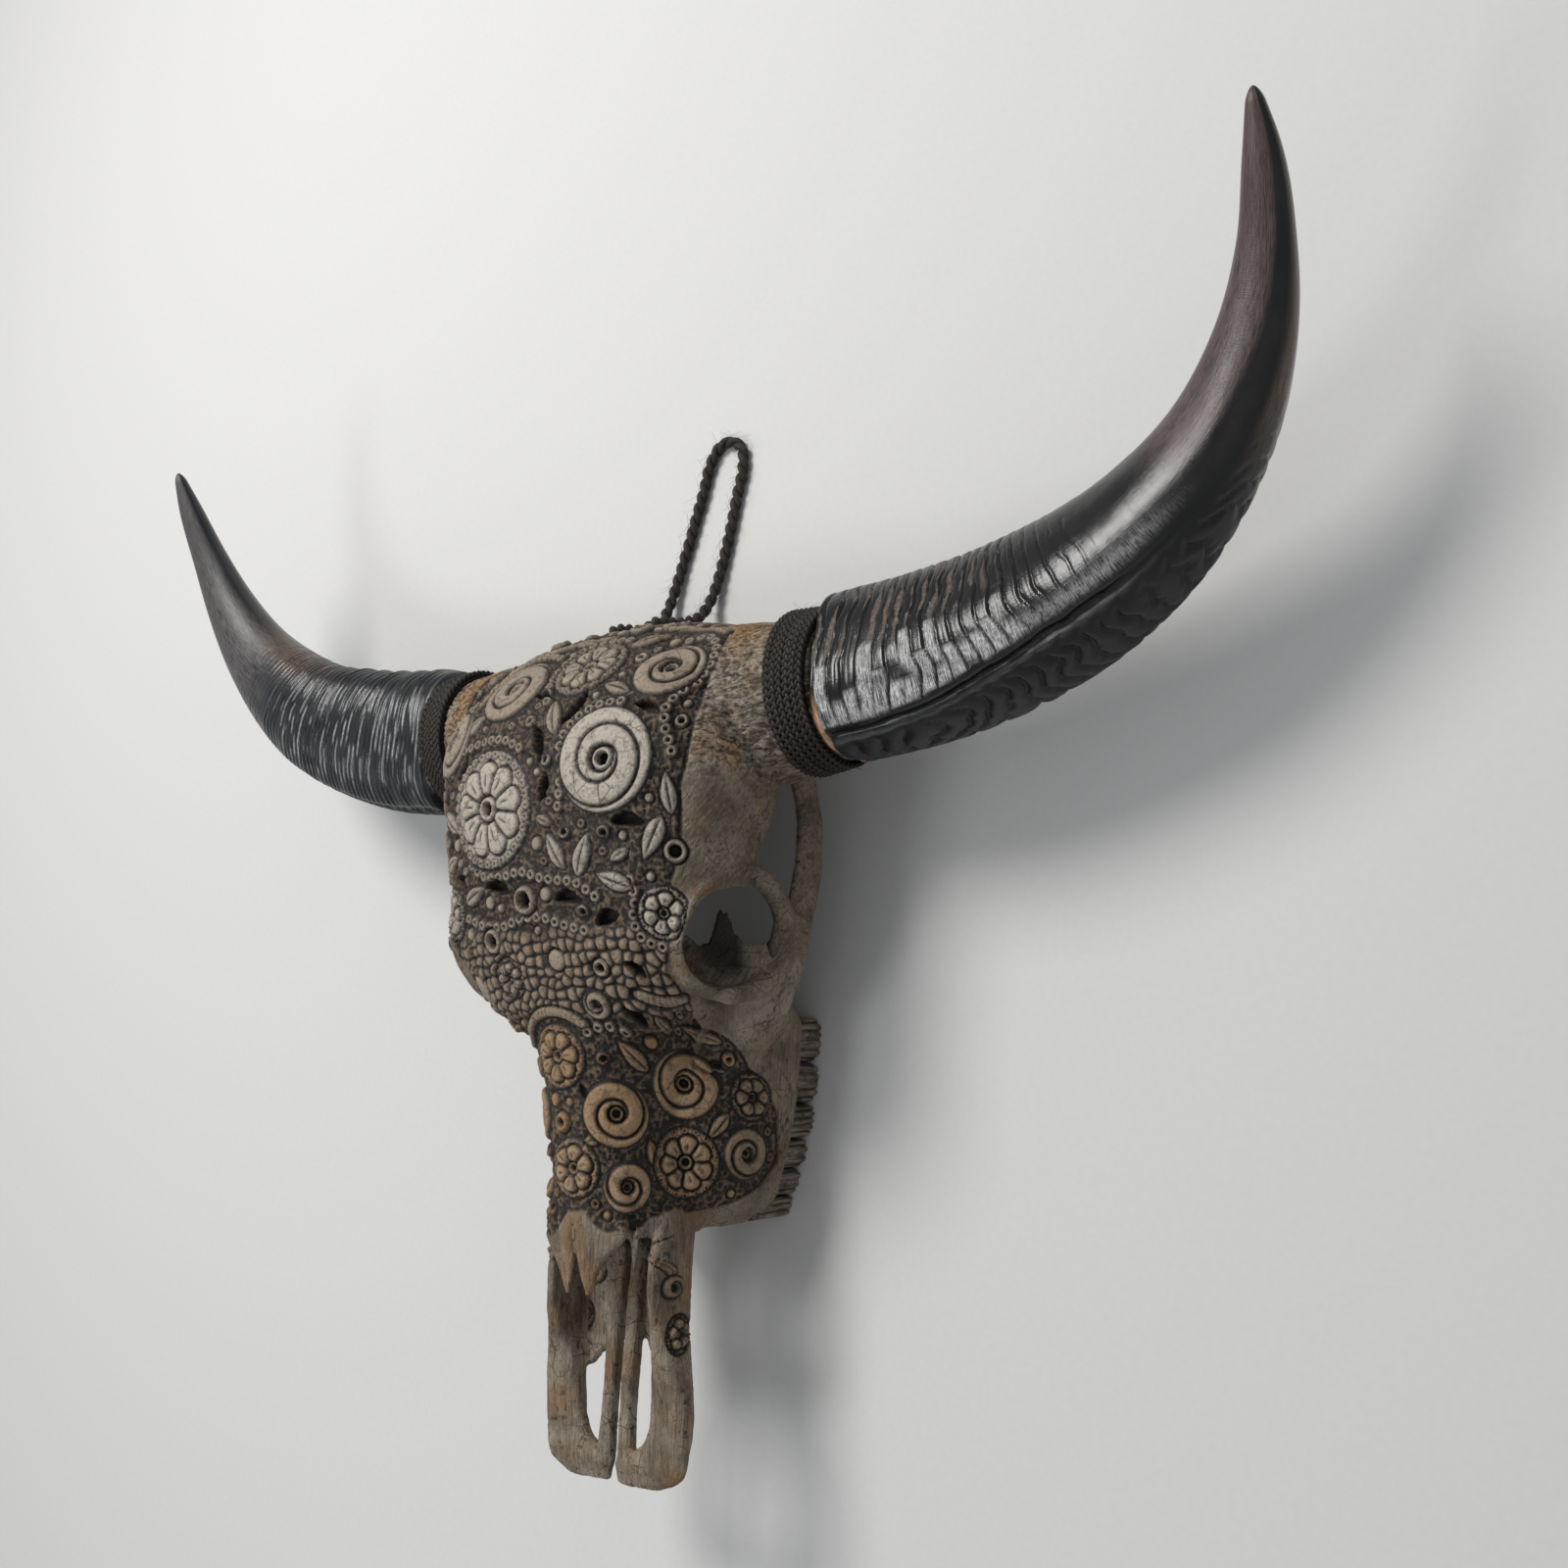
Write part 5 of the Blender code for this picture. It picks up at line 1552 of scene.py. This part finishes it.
def ringed_horn(run, turn, length):
    """The right horn's surface: close grooves between sharp crests, a few steps, and a smooth tip.

    Long pale streaks lie on the crests across the middle of the face: painted highlights, and the
    crests elsewhere carry a fainter painted sheen. Under the ridge the grooves turn to folds.
    """
    t = run / length
    ring = np.column_stack([1.5 * np.cos(turn), 1.5 * np.sin(turn), run * 25])
    wander = grain(ring, 1.0, 21, 2)
    rough = grain(np.column_stack([6 * np.cos(turn), 6 * np.sin(turn), run * 90]), 1.0, 26, 2)
    fine = grain(np.column_stack([3 * np.cos(turn), 3 * np.sin(turn), run * 240]), 1.0, 22, 3)
    fade = 1 - ease(0.40, 0.60, t + 0.06 * wander)
    phase = run / 0.0047 + 0.9 * wander + 0.08 * rough + 0.30 * turn
    which = np.rint(phase)
    reach = grain(np.column_stack([turn * 1.6, which * 7.3, which * 0]), 1.0, 23, 2)
    close = crest(phase, 2.4) * np.clip(0.65 + 0.9 * reach, 0.1, 1.15)
    # Painted highlight: pale streaks on the crests, broken up where the lit noise is low.
    lit = grain(np.column_stack([turn * 1.9, np.floor(phase) * 3.7, run * 6]), 1.0, 24, 2)
    between = crest(phase + 0.5, 2.0) * ease(-0.02, 0.16, lit + 0.14 * rough)
    step = (run / 0.0240 + 0.20 * wander) % 1.0
    stair = ease(1.5, 2.4, turn) * (1 - ease(0.25, 0.42, t))
    stepped = (step - ease(0.86, 1.0, step)) * stair * (1 - ease(4.2, 4.7, turn))
    from_ridge = turn - ringed_ridge(t)
    below = band(-1.7, -1.2, -0.22, -0.08, from_ridge) * (1 - ease(0.40, 0.60, t))
    folds = crest(run / 0.0090 + 1.5 * wander + 0.6 * rough + 0.8 * np.sin(2.8 * turn + 26 * t), 1.6)
    under = line(from_ridge + 0.10, 0.06) * (1 - ease(0.30, 0.50, t)) * ease(0.003, 0.012, run)
    growth = (
        -0.0014 * close * fade * (1 - below)
        - 0.0018 * folds * below
        - 0.0022 * under
        + 0.0042 * (stepped - 0.4 * stair)
        + 0.0007 * wander * (1 - 0.7 * t)
        + 0.00012 * fine * fade
    )
    face = band(0.55, 0.95, 1.9, 2.5, turn) * (1 - ease(0.36, 0.50, t))
    return growth, {
        "groove": np.clip(1.3 * close * fade * (1 - below) + 0.9 * folds * below + under, 0, 1),
        # Painted sheen on the crests, at a third of the streaks' strength.
        "flake_and_sheen": between * fade * 0.35,
        # Painted highlight streaks across the middle of the face.
        "scraped_and_sheen": between * face,
        "dull": below,
        "inner": band(0.5, 0.9, 2.45, 2.80, turn) * ease(0.46, 0.60, t + 0.03 * rough),
        "outer": band(2.0, 2.4, 2.8, 3.2, turn) * line(t - 0.5, 0.12),
        "reveal": np.zeros(len(run)),
        "run": run * 1000,
        "turn": turn,
    }


def core_at(x):
    """The horn core's middle and half widths at this distance from the midline."""
    return curved(np.column_stack([np.array(CORE_LINE), CORE_HALF_WIDTHS, CORE_HALF_HEIGHTS]), x)


def binding(name, seed):
    """The winding at the left horn's base: a braid of three strands, wound six times over a plain ring.

    A strand of the braid swings from side to side as sin(a) and over and under as sin(2a),
    a third of a turn behind the strand before it.
    """
    turns, strands, swing, weave, radius = 6, 3, 0.00140, 0.00100, 0.00112
    girth, step, pitch = 0.265, 0.00090, 0.0125
    ring_out, ring_thick = 0.0022, 0.0017
    start, end = BINDING
    angle = np.linspace(0, 2 * math.pi * turns, int(turns * girth / step))
    x = start + 0.0021 + (end - start - 0.0034) * angle / angle[-1]
    none = np.zeros(len(angle))
    x = x + 0.00035 * grain(np.column_stack([angle * 1.4, none, none]), 1.0, seed)
    y, z, across, up = core_at(x).T
    room = ring_thick + 0.0021 + 0.0003 * grain(np.column_stack([angle * 2, none + 3, none]), 1.0, seed + 1)
    way = np.column_stack([np.zeros_like(x), np.cos(angle), np.sin(angle)])
    path = np.column_stack([x, y + (across + room) * way[:, 1], z + (up + room) * way[:, 2]])
    run = run_of(path)
    shapes = []
    for k in range(strands):
        phase = 2 * math.pi * (run / pitch + k / strands)
        sideways = np.column_stack([swing * np.sin(phase), none, none])
        shapes.append(strand(path + sideways + way * (weave * np.sin(2 * phase))[:, None], radius, 8))
    first, last = start + 0.0008, end - 0.0030
    profile = ((first, 0.0002), (first, ring_out), (last, ring_out), (last, 0.0002))
    sides = 96
    turn = np.linspace(0, 2 * math.pi, sides, endpoint=False)
    edges = []
    for place, height in profile:
        y0, z0, across0, up0 = core_at(place)[0]
        edges.append(
            np.column_stack([
                np.full(sides, place),
                y0 + (across0 + height) * np.cos(turn),
                z0 + (up0 + height) * np.sin(turn),
            ])
        )
    shapes.append(skin(np.stack(edges, axis=1), closed=True))
    obj = made(name, heap(shapes))
    spots = corners(obj.data)
    y, z, across, up = core_at(np.abs(spots[:, 0])).T
    out = np.hypot((spots[:, 1] - y) / across, (spots[:, 2] - z) / up) - 1
    # How far the braid stands out from the core, which its material lightens as wear and painted highlight.
    keep(obj.data, "lift", ease(0.0046, 0.0068, out * (across + up) / 2))
    stray = made(name + "_fibres", heap(hairs(path, 0.0012, 420, 0.009, 0.00010, seed + 2, 6)))
    return obj, stray


def tooth_row_x(y):
    """Distance of the tooth row's middle from the midline: the rows bow outwards."""
    front, back = TOOTH_ROW
    t = (y - front) / (back - front)
    return 0.0410 + 0.0420 * t - 0.0205 * t**2


def tooth(name, index):
    """A left cheek tooth: rings of a rounded block with upright ribs and a hollowed grinding face."""
    front, back = TOOTH_ROW
    edges = front + (back - front) * np.concatenate([[0], np.cumsum(TOOTH_SHARES)])
    gap = 0.0003
    start, end = edges[index] + gap, edges[index + 1] - gap
    middle, half = (start + end) / 2, (end - start) / 2
    wide = 0.0080 + 0.0035 * min(index, 3) / 3
    lean = math.atan2(tooth_row_x(end) - tooth_row_x(start), end - start)
    sides = 96
    c, s = oval(sides, 3.4)
    ribs = 3 if index < 3 else 5
    rings, hollows = [], []
    levels = ((0.25, 0.0026), (0.45, 0.0010), (0.62, 0.0022), (0.80, 0.0006), (0.93, 0.0), (0.99, 0.0008))
    for share, z in levels + tuple((1.0, z) for z in np.linspace(0.002, TOOTH_ROOT_TOP, 22)):
        t = z / TOOTH_ROOT_TOP
        level = np.full(sides, z)
        rib = 0.300 * np.abs(np.cos(math.pi * s * ribs / 2 + index)) ** 0.7
        rib = rib * np.abs(c) ** 0.5 * np.where(c > 0, 1.0, 0.5)
        wear = 0.012 * grain(np.column_stack([c * 3 + index, s * 3, level * 220]), 1.0, 40 + index, 2)
        grown = share * (0.76 + rib + wear)
        x, y = wide * (1 - 0.12 * t) * c * grown, half * s * np.minimum(share, 1.0)
        rings.append(np.column_stack([tooth_row_x(middle) + x + y * math.tan(lean), middle + y, level]))
        hollows.append(1 - ease(0.03, 0.20, rib))
    obj = made(name, skin(rings))
    hollows = np.concatenate(hollows)
    keep(obj.data, "between", np.concatenate([hollows, [0.0, 0.0]]))
    return obj


class Socket:
    """One number on its way through a material's nodes, which takes plain sums and products."""

    def __init__(self, finish, end):
        self.finish = finish
        self.end = end

    def maths(self, operation, *others):
        values = {i: value for i, value in enumerate((self, *others))}
        return self.finish.node("ShaderNodeMath", {"operation": operation}, values)

    def __add__(self, other):
        return self.maths("ADD", other)

    __radd__ = __add__

    def __mul__(self, other):
        return self.maths("MULTIPLY", other)

    __rmul__ = __mul__

    def __sub__(self, other):
        return self.maths("SUBTRACT", other)

    def __rsub__(self, other):
        return self.finish.node("ShaderNodeMath", {"operation": "SUBTRACT"}, {0: other, 1: self})

    def __pow__(self, other):
        return self.maths("POWER", other)

    def clipped(self):
        return self.finish.node("ShaderNodeMath", {"operation": "ADD", "use_clamp": True}, {0: self, 1: 0.0})

    def between(self, low, high):
        """0 where the number is low, 1 where it is high, smoothly between."""
        return self.finish.node(
            "ShaderNodeMapRange", {"interpolation_type": "SMOOTHSTEP"}, {0: self, 1: low, 2: high}
        )


class Finish:
    """One material: its Principled shader, and the nodes that feed it."""

    def __init__(self, name, **steady):
        self.material = bpy.data.materials.new(name)
        self.material.use_nodes = True
        self.tree = self.material.node_tree
        self.shader = self.tree.nodes["Principled BSDF"]
        for socket, value in steady.items():
            self.shader.inputs[socket.replace("_", " ")].default_value = value
        self.place = self.node("ShaderNodeTexCoord", out="Object")

    def node(self, kind, settings=None, inputs=None, out=0):
        """A node of this kind: its settings come first, then the values or links of its sockets."""
        made_node = self.tree.nodes.new(kind)
        for setting, value in (settings or {}).items():
            setattr(made_node, setting, value)
        for socket, value in (inputs or {}).items():
            if isinstance(value, Socket):
                self.tree.links.new(value.end, made_node.inputs[socket])
            else:
                made_node.inputs[socket].default_value = value
        return Socket(self, made_node.outputs[out])

    def mark(self, name):
        """A number kept on the mesh's points."""
        return self.node("ShaderNodeAttribute", {"attribute_name": name}, out="Fac")

    def spread(self, size, stretch=(1, 1, 1)):
        """The place on the piece, in units of this size in metres, drawn out by stretch along each axis."""
        scale = [1 / (size * s) for s in stretch]
        return self.node("ShaderNodeVectorMath", {"operation": "MULTIPLY"}, {0: self.place, 1: scale})

    def clouds(self, place, detail, roughness):
        """Cloudy noise from 0 to 1."""
        inputs = {"Vector": place, "Scale": 1.0, "Detail": detail, "Roughness": roughness}
        return self.node("ShaderNodeTexNoise", None, inputs)

    def noise(self, size, detail=3.0, roughness=0.55, stretch=(1, 1, 1)):
        """Clouds with features of this size in metres."""
        return self.clouds(self.spread(size, stretch), detail, roughness)

    def noise_over(self, place, detail=3.0, roughness=0.55):
        """Noise over numbers kept on the surface, such as the distance along it and the turn round it."""
        return self.clouds(self.node("ShaderNodeCombineXYZ", None, dict(enumerate(place))), detail, roughness)

    def drawn_out(self, way, length, width, detail=4.0, roughness=0.62):
        """Noise drawn out along a direction, this long and this wide, the same on both sides of the head."""
        x, y, z = (self.node("ShaderNodeSeparateXYZ", None, {0: self.place}, i) for i in range(3))
        x = x.maths("ABSOLUTE")
        way = unit(np.array(way, float))
        side = unit(np.cross(way, (0.3, 0.5, 0.8)))
        axes = (way / length, side / width, np.cross(way, side) / width)
        return self.noise_over([x * axis[0] + y * axis[1] + z * axis[2] for axis in axes], detail, roughness)

    def cells(self, size, feature="F1"):
        """Distances inside cells of this size in metres."""
        inputs = {"Vector": self.spread(size), "Scale": 1.0}
        return self.node("ShaderNodeTexVoronoi", {"feature": feature}, inputs, "Distance")

    def blend(self, share, first, second):
        """The second colour over the first, by this share."""
        colours = [(*c, 1.0) if isinstance(c, tuple) else c for c in (first, second)]
        return self.node("ShaderNodeMix", {"data_type": "RGBA"}, {0: share, 6: colours[0], 7: colours[1]}, 2)

    def feed(self, socket, value):
        """Links a value to one of the shader's sockets."""
        self.tree.links.new(value.end, self.shader.inputs[socket])

    def bumps(self, *layers):
        """Height layers, each with its depth in metres, as one bump after another."""
        normal = None
        for height, depth in layers:
            inputs = {"Height": height, "Distance": depth, "Strength": 1.0}
            if normal is not None:
                inputs["Normal"] = normal
            normal = self.node("ShaderNodeBump", None, inputs)
        self.feed("Normal", normal)


def aged_bone():
    """Old bone: grey-brown and mottled, browner where it was cut, dark in hollows from dirt and painted shade,
    and pale on worn heights.

    Its bare parts are fibrous: slanting fibres on the temples and cheeks, lengthwise streaks on
    the nose, and pale flakes between dark cracks at the roots of the horns.
    """
    finish = Finish("aged_bone", Specular_IOR_Level=0.4)
    cloud = finish.noise(0.026, 4)
    mottle = finish.noise(0.0045, 5, 0.62)
    fleck = finish.noise(0.0014, 4, 0.6)
    carved, rippled, nosed = finish.mark("carved"), finish.mark("rippled"), finish.mark("nosed")
    fibres = finish.drawn_out((0.55, 0.75, -0.35), 0.0048, 0.0012)
    streaks = finish.drawn_out((0.05, 1.0, 0.0), 0.020, 0.0010)
    waves = finish.drawn_out((0.78, 0.03, -0.62), 0.0062, 0.0019, 5.0, 0.66)
    plain = 1 - carved
    smoother = plain * (1 - rippled)
    fibre = (fibres * (1 - nosed) + streaks * nosed) * (1 - rippled) + waves * rippled
    bare = finish.blend(cloud.between(0.36, 0.66), (0.115, 0.085, 0.056), (0.235, 0.190, 0.140))
    cut = finish.blend(cloud.between(0.36, 0.66), (0.085, 0.054, 0.030), (0.175, 0.122, 0.074))
    colour = finish.blend(carved, bare, cut)
    colour = finish.blend(finish.mark("warm") * (mottle * 0.5 + 0.6), colour, (0.250, 0.125, 0.040))
    pale = finish.blend(finish.mark("warm"), (0.450, 0.400, 0.335), (0.400, 0.235, 0.095))
    colour = finish.blend(finish.mark("pale") * (mottle.between(0.2, 0.55) * 0.5 + 0.5), colour, pale)
    colour = finish.blend(fibre.between(0.54, 0.72) * smoother * 0.34, colour, pale)
    colour = finish.blend(fibre.between(0.46, 0.36) * smoother * 0.60, colour, (0.034, 0.022, 0.013))
    colour = finish.blend(waves.between(0.545, 0.585) * rippled * (cloud * 0.7 + 0.2), colour, pale)
    colour = finish.blend(waves.between(0.455, 0.415) * rippled * 0.82, colour, (0.026, 0.017, 0.010))
    colour = finish.blend(mottle.between(0.50, 0.74) * 0.55, colour, (0.060, 0.040, 0.024))
    colour = finish.blend(fleck.between(0.58, 0.74) * 0.5, colour, (0.045, 0.032, 0.022))
    hairline = finish.cells(0.0115, "DISTANCE_TO_EDGE").between(0.030, 0.0) * cloud.between(0.46, 0.62)
    colour = finish.blend(mottle.between(0.46, 0.70) * carved * 0.6, colour, (0.095, 0.062, 0.036))
    colour = finish.blend(hairline * 0.7, colour, (0.020, 0.014, 0.009))
    # Near black where the mark says: dirt in the grooves, and painted shade in recesses and cavities.
    colour = finish.blend((finish.mark("dirt") * 1.2).clipped(), colour, (0.009, 0.0062, 0.004))
    finish.feed("Base Color", colour)
    finish.feed("Roughness", 0.78 - finish.mark("pale") * 0.25 - cloud * 0.15)
    pores = finish.cells(0.0010, "F1")
    grooved = fibre * plain * (rippled * 0.8 + 0.55)
    finish.bumps((grooved, 0.0011), (mottle, 0.0007), (fleck - hairline * 0.8, 0.0003), (pores, 0.00022))
    return finish.material


def worn_enamel():
    """Teeth: grey-brown with upright streaks, darker between the ribs."""
    finish = Finish("worn_enamel", Roughness=0.42)
    streak = finish.noise(0.0016, 4, 0.6, (1, 1, 7))
    cloud = finish.noise(0.009, 3)
    colour = finish.blend(streak.between(0.35, 0.7), (0.085, 0.066, 0.046), (0.270, 0.225, 0.165))
    colour = finish.blend(cloud.between(0.5, 0.72), colour, (0.035, 0.026, 0.018))
    colour = finish.blend(finish.mark("between") * 0.9, colour, (0.010, 0.007, 0.005))
    finish.feed("Base Color", colour)
    finish.bumps((streak, 0.0004))
    return finish.material


def horn_finish(name, base, grey, worn, white, inner, gloss):
    """Horn: near black and polished, pale and scratched across where it was scraped and where highlights and
    reflections are painted, and streaked towards the tip.
    """
    finish = Finish(name, Specular_IOR_Level=0.42)
    run, turn = finish.mark("run"), finish.mark("turn")
    across = finish.noise_over((run * 2.2, turn * 5.0), 4, 0.65)
    lengthwise = finish.noise_over((run * 0.11, turn * 30.0), 5, 0.68)
    cloud = finish.noise_over((run * 0.035, turn * 1.6), 3, 0.55)
    grit = finish.noise(0.0016, 4, 0.6)
    colour = finish.blend(cloud.between(0.42, 0.70) * 0.7, base, grey)
    colour = finish.blend(across.between(0.60, 0.74) * cloud.between(0.45, 0.65) * 0.25, colour, worn)
    streaks = lengthwise.between(0.38, 0.62)
    colour = finish.blend(finish.mark("inner") * (streaks * 0.85 + 0.15), colour, inner)
    colour = finish.blend(finish.mark("outer") * (streaks * 0.8 + 0.2), colour, (0.120, 0.078, 0.050))
    flakes = (across * 0.6 + grit.between(0.4, 0.65) * 0.5).clipped()
    # Flakes, and on the right horn a painted sheen on the crests.
    colour = finish.blend(finish.mark("flake_and_sheen") * flakes, colour, worn)
    scratches = (across.between(0.40, 0.58) * 0.75 + grit.between(0.46, 0.66) * 0.35).clipped()
    # Pale where scraped, and where painted reflections and highlights lie.
    colour = finish.blend(finish.mark("scraped_and_sheen") * scratches, colour, white)
    colour = finish.blend(finish.mark("groove") * 0.92, colour, (0.0035, 0.0035, 0.0035))
    bared = finish.mark("reveal") * (grit.between(0.3, 0.6) * 0.5 + 0.5)
    colour = finish.blend(bared, colour, (0.40, 0.235, 0.14))
    finish.feed("Base Color", colour)
    worn_away = finish.mark("scraped_and_sheen") * 0.22 + finish.mark("flake_and_sheen") * 0.40
    worn_away = worn_away + finish.mark("inner") * 0.16 + finish.mark("dull") * 0.26
    finish.feed("Roughness", (worn_away + cloud * 0.14 + across * 0.10 + gloss).clipped())
    torn = finish.mark("scraped_and_sheen") * 0.8 + finish.mark("flake_and_sheen") * 0.6 + 0.2
    finish.bumps((across * torn, 0.00030), (lengthwise, 0.00010), (grit * torn, 0.00018))
    return finish.material


def dark_fibre(name, dark, light, wear):
    """Palm fibre: dark brown strands, lighter where they stand out, as wear and as a painted highlight."""
    finish = Finish(name, Roughness=0.7, Specular_IOR_Level=0.35)
    strands = finish.noise(0.0006, 3, 0.6, (1, 5, 1))
    cloud = finish.noise(0.008, 2)
    shown = (strands.between(0.4, 0.7) * 0.6 + cloud.between(0.5, 0.8) * 0.3) * (1 - wear)
    # Painted highlight with wear: strands that stand out from the horn core are lightened, by this weight.
    if wear:
        shown = shown + finish.mark("lift") * (strands.between(0.35, 0.65) * 0.7 + 0.3) * wear
    colour = finish.blend(shown.clipped(), dark, light)
    finish.feed("Base Color", colour)
    finish.bumps((strands, 0.0003))
    return finish.material


def pale_floor():
    """Matt pale plaster with a faint speckle."""
    finish = Finish("pale_floor", Roughness=0.9)
    speck = finish.noise(0.004, 3)
    finish.feed("Base Color", finish.blend(speck, (0.585, 0.58, 0.565), (0.63, 0.625, 0.61)))
    return finish.material


def floor():
    """A plain pale floor, wide enough to fill every view."""
    size = 6.0
    spots = np.array([(-size, -size, 0), (size, -size, 0), (size, size, 0), (-size, size, 0)]) - HOME
    obj = made("floor", (spots, [(0, 1, 2, 3)]))
    obj.data.materials.append(pale_floor())


def lamp(name, place, target, size, power, colour):
    """A round soft lamp that shines from its place towards a target."""
    light = bpy.data.lights.new(name, "AREA")
    light.shape = "DISK"
    light.size = size
    light.energy = power
    light.color = colour
    back = unit(np.array(place, float) - np.array(target, float))
    side = unit(np.cross(np.array([0.0, 0.0, 1.0]), back))
    placed(name, light).matrix_world = turned(side, back, place)


def studio():
    """Soft light from beyond the crown, a weak one from the nose's side, and an even fill."""
    lamp("key", (-0.55, 1.15, 1.75), (0.0, 0.0, 0.08), 0.9, 36, (1.0, 0.985, 0.96))
    lamp("side", (-0.62, -0.80, 1.70), (0.25, 0.10, 0.08), 0.60, 7, (0.96, 0.98, 1.0))
    world = bpy.data.worlds.new("studio")
    world.use_nodes = True
    world.node_tree.nodes["Background"].inputs["Color"].default_value = (0.93, 0.96, 1.0, 1)
    world.node_tree.nodes["Background"].inputs["Strength"].default_value = 0.42
    bpy.context.scene.world = world
    bpy.context.scene.view_settings.view_transform = "Standard"


def dressed(obj, slot, material, *nodes):
    """The piece rides on the root body, takes its finish, and hides these nodes of the frame, which it stands in
    for.
    """
    obj.data.materials.clear()
    obj.data.materials.append(material)
    obj.data.shade_smooth()
    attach(obj, "root")
    if nodes:
        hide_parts(*nodes)
    return obj


def with_smooth_normals(obj):
    """Gives the piece the normals that the whole bone had, so that no line shows where it was parted."""
    mesh = obj.data
    smooth = triples(mesh.attributes["smooth_way"].data, "vector")
    mesh.normals_split_custom_set_from_vertices(unit(smooth).tolist())
    mesh.attributes.remove(mesh.attributes["smooth_way"])


def mirror_piece(obj, name):
    """A copy of the piece on the other side of the head, turned right side out."""
    mesh = obj.data.copy()
    places = triples(mesh.vertices, "co") * np.array([-1, 1, 1], np.float32)
    mesh.vertices.foreach_set("co", places.ravel())
    mesh.flip_normals()
    mesh.update()
    bpy.data.objects.remove(obj)
    return placed(name, mesh)


def main():
    """Makes every piece, gives it its finish, and hides the node of the frame that it stands in for."""
    photo_camera()
    for piece in hanging_cord():
        fibre = dark_fibre("hanging_fibre", (0.016, 0.013, 0.011), (0.080, 0.064, 0.050), 0.0)
        piece.data.materials.append(fibre)

    bone = aged_bone()
    enamel = worn_enamel()
    wound = dark_fibre("binding_fibre", (0.0040, 0.0032, 0.0028), (0.085, 0.066, 0.052), 0.75)
    stray_fibre = dark_fibre("stray_fibre", (0.012, 0.010, 0.008), (0.090, 0.072, 0.058), 0.0)

    for piece in skull_bone():
        dressed(piece, "bone", bone, "skull")
        with_smooth_normals(piece)

    for index, kind in enumerate(TOOTH_NAMES):
        dressed(tooth(f"left_{kind}_crown", index), "enamel", enamel, f"left_{kind}")
        other = mirror_piece(tooth("other", index), f"right_{kind}_crown")
        dressed(other, "enamel", enamel, f"right_{kind}")

    worn = horn_finish(
        "worn_horn",
        base=(0.0040, 0.0040, 0.0040),
        grey=(0.012, 0.0115, 0.0115),
        worn=(0.165, 0.125, 0.095),
        white=(0.58, 0.58, 0.57),
        inner=(0.100, 0.066, 0.062),
        gloss=0.07,
    )
    ringed = horn_finish(
        "ringed_horn",
        base=(0.009, 0.0105, 0.012),
        grey=(0.022, 0.026, 0.030),
        worn=(0.110, 0.118, 0.122),
        white=(0.60, 0.62, 0.63),
        inner=(0.110, 0.098, 0.096),
        gloss=0.14,
    )
    dressed(horn("left_horn_sheath", worn_horn, worn_ridge, 0.085), "horn", worn, "left_horn")
    other = horn("other", ringed_horn, ringed_ridge, 0.065)
    dressed(mirror_piece(other, "right_horn_sheath"), "horn", ringed, "right_horn")

    for side, seed in (("left", 60), ("right", 70)):
        pieces = binding(f"{side}_braid", seed)
        names = (f"{side}_braid", f"{side}_braid_fibres")
        if side == "right":
            pieces = [mirror_piece(piece, name) for piece, name in zip(pieces, names)]
        dressed(pieces[0], "cord_fibre", wound, f"{side}_horn_binding")
        dressed(pieces[1], "cord_fibre", stray_fibre)

    floor()
    studio()


main()
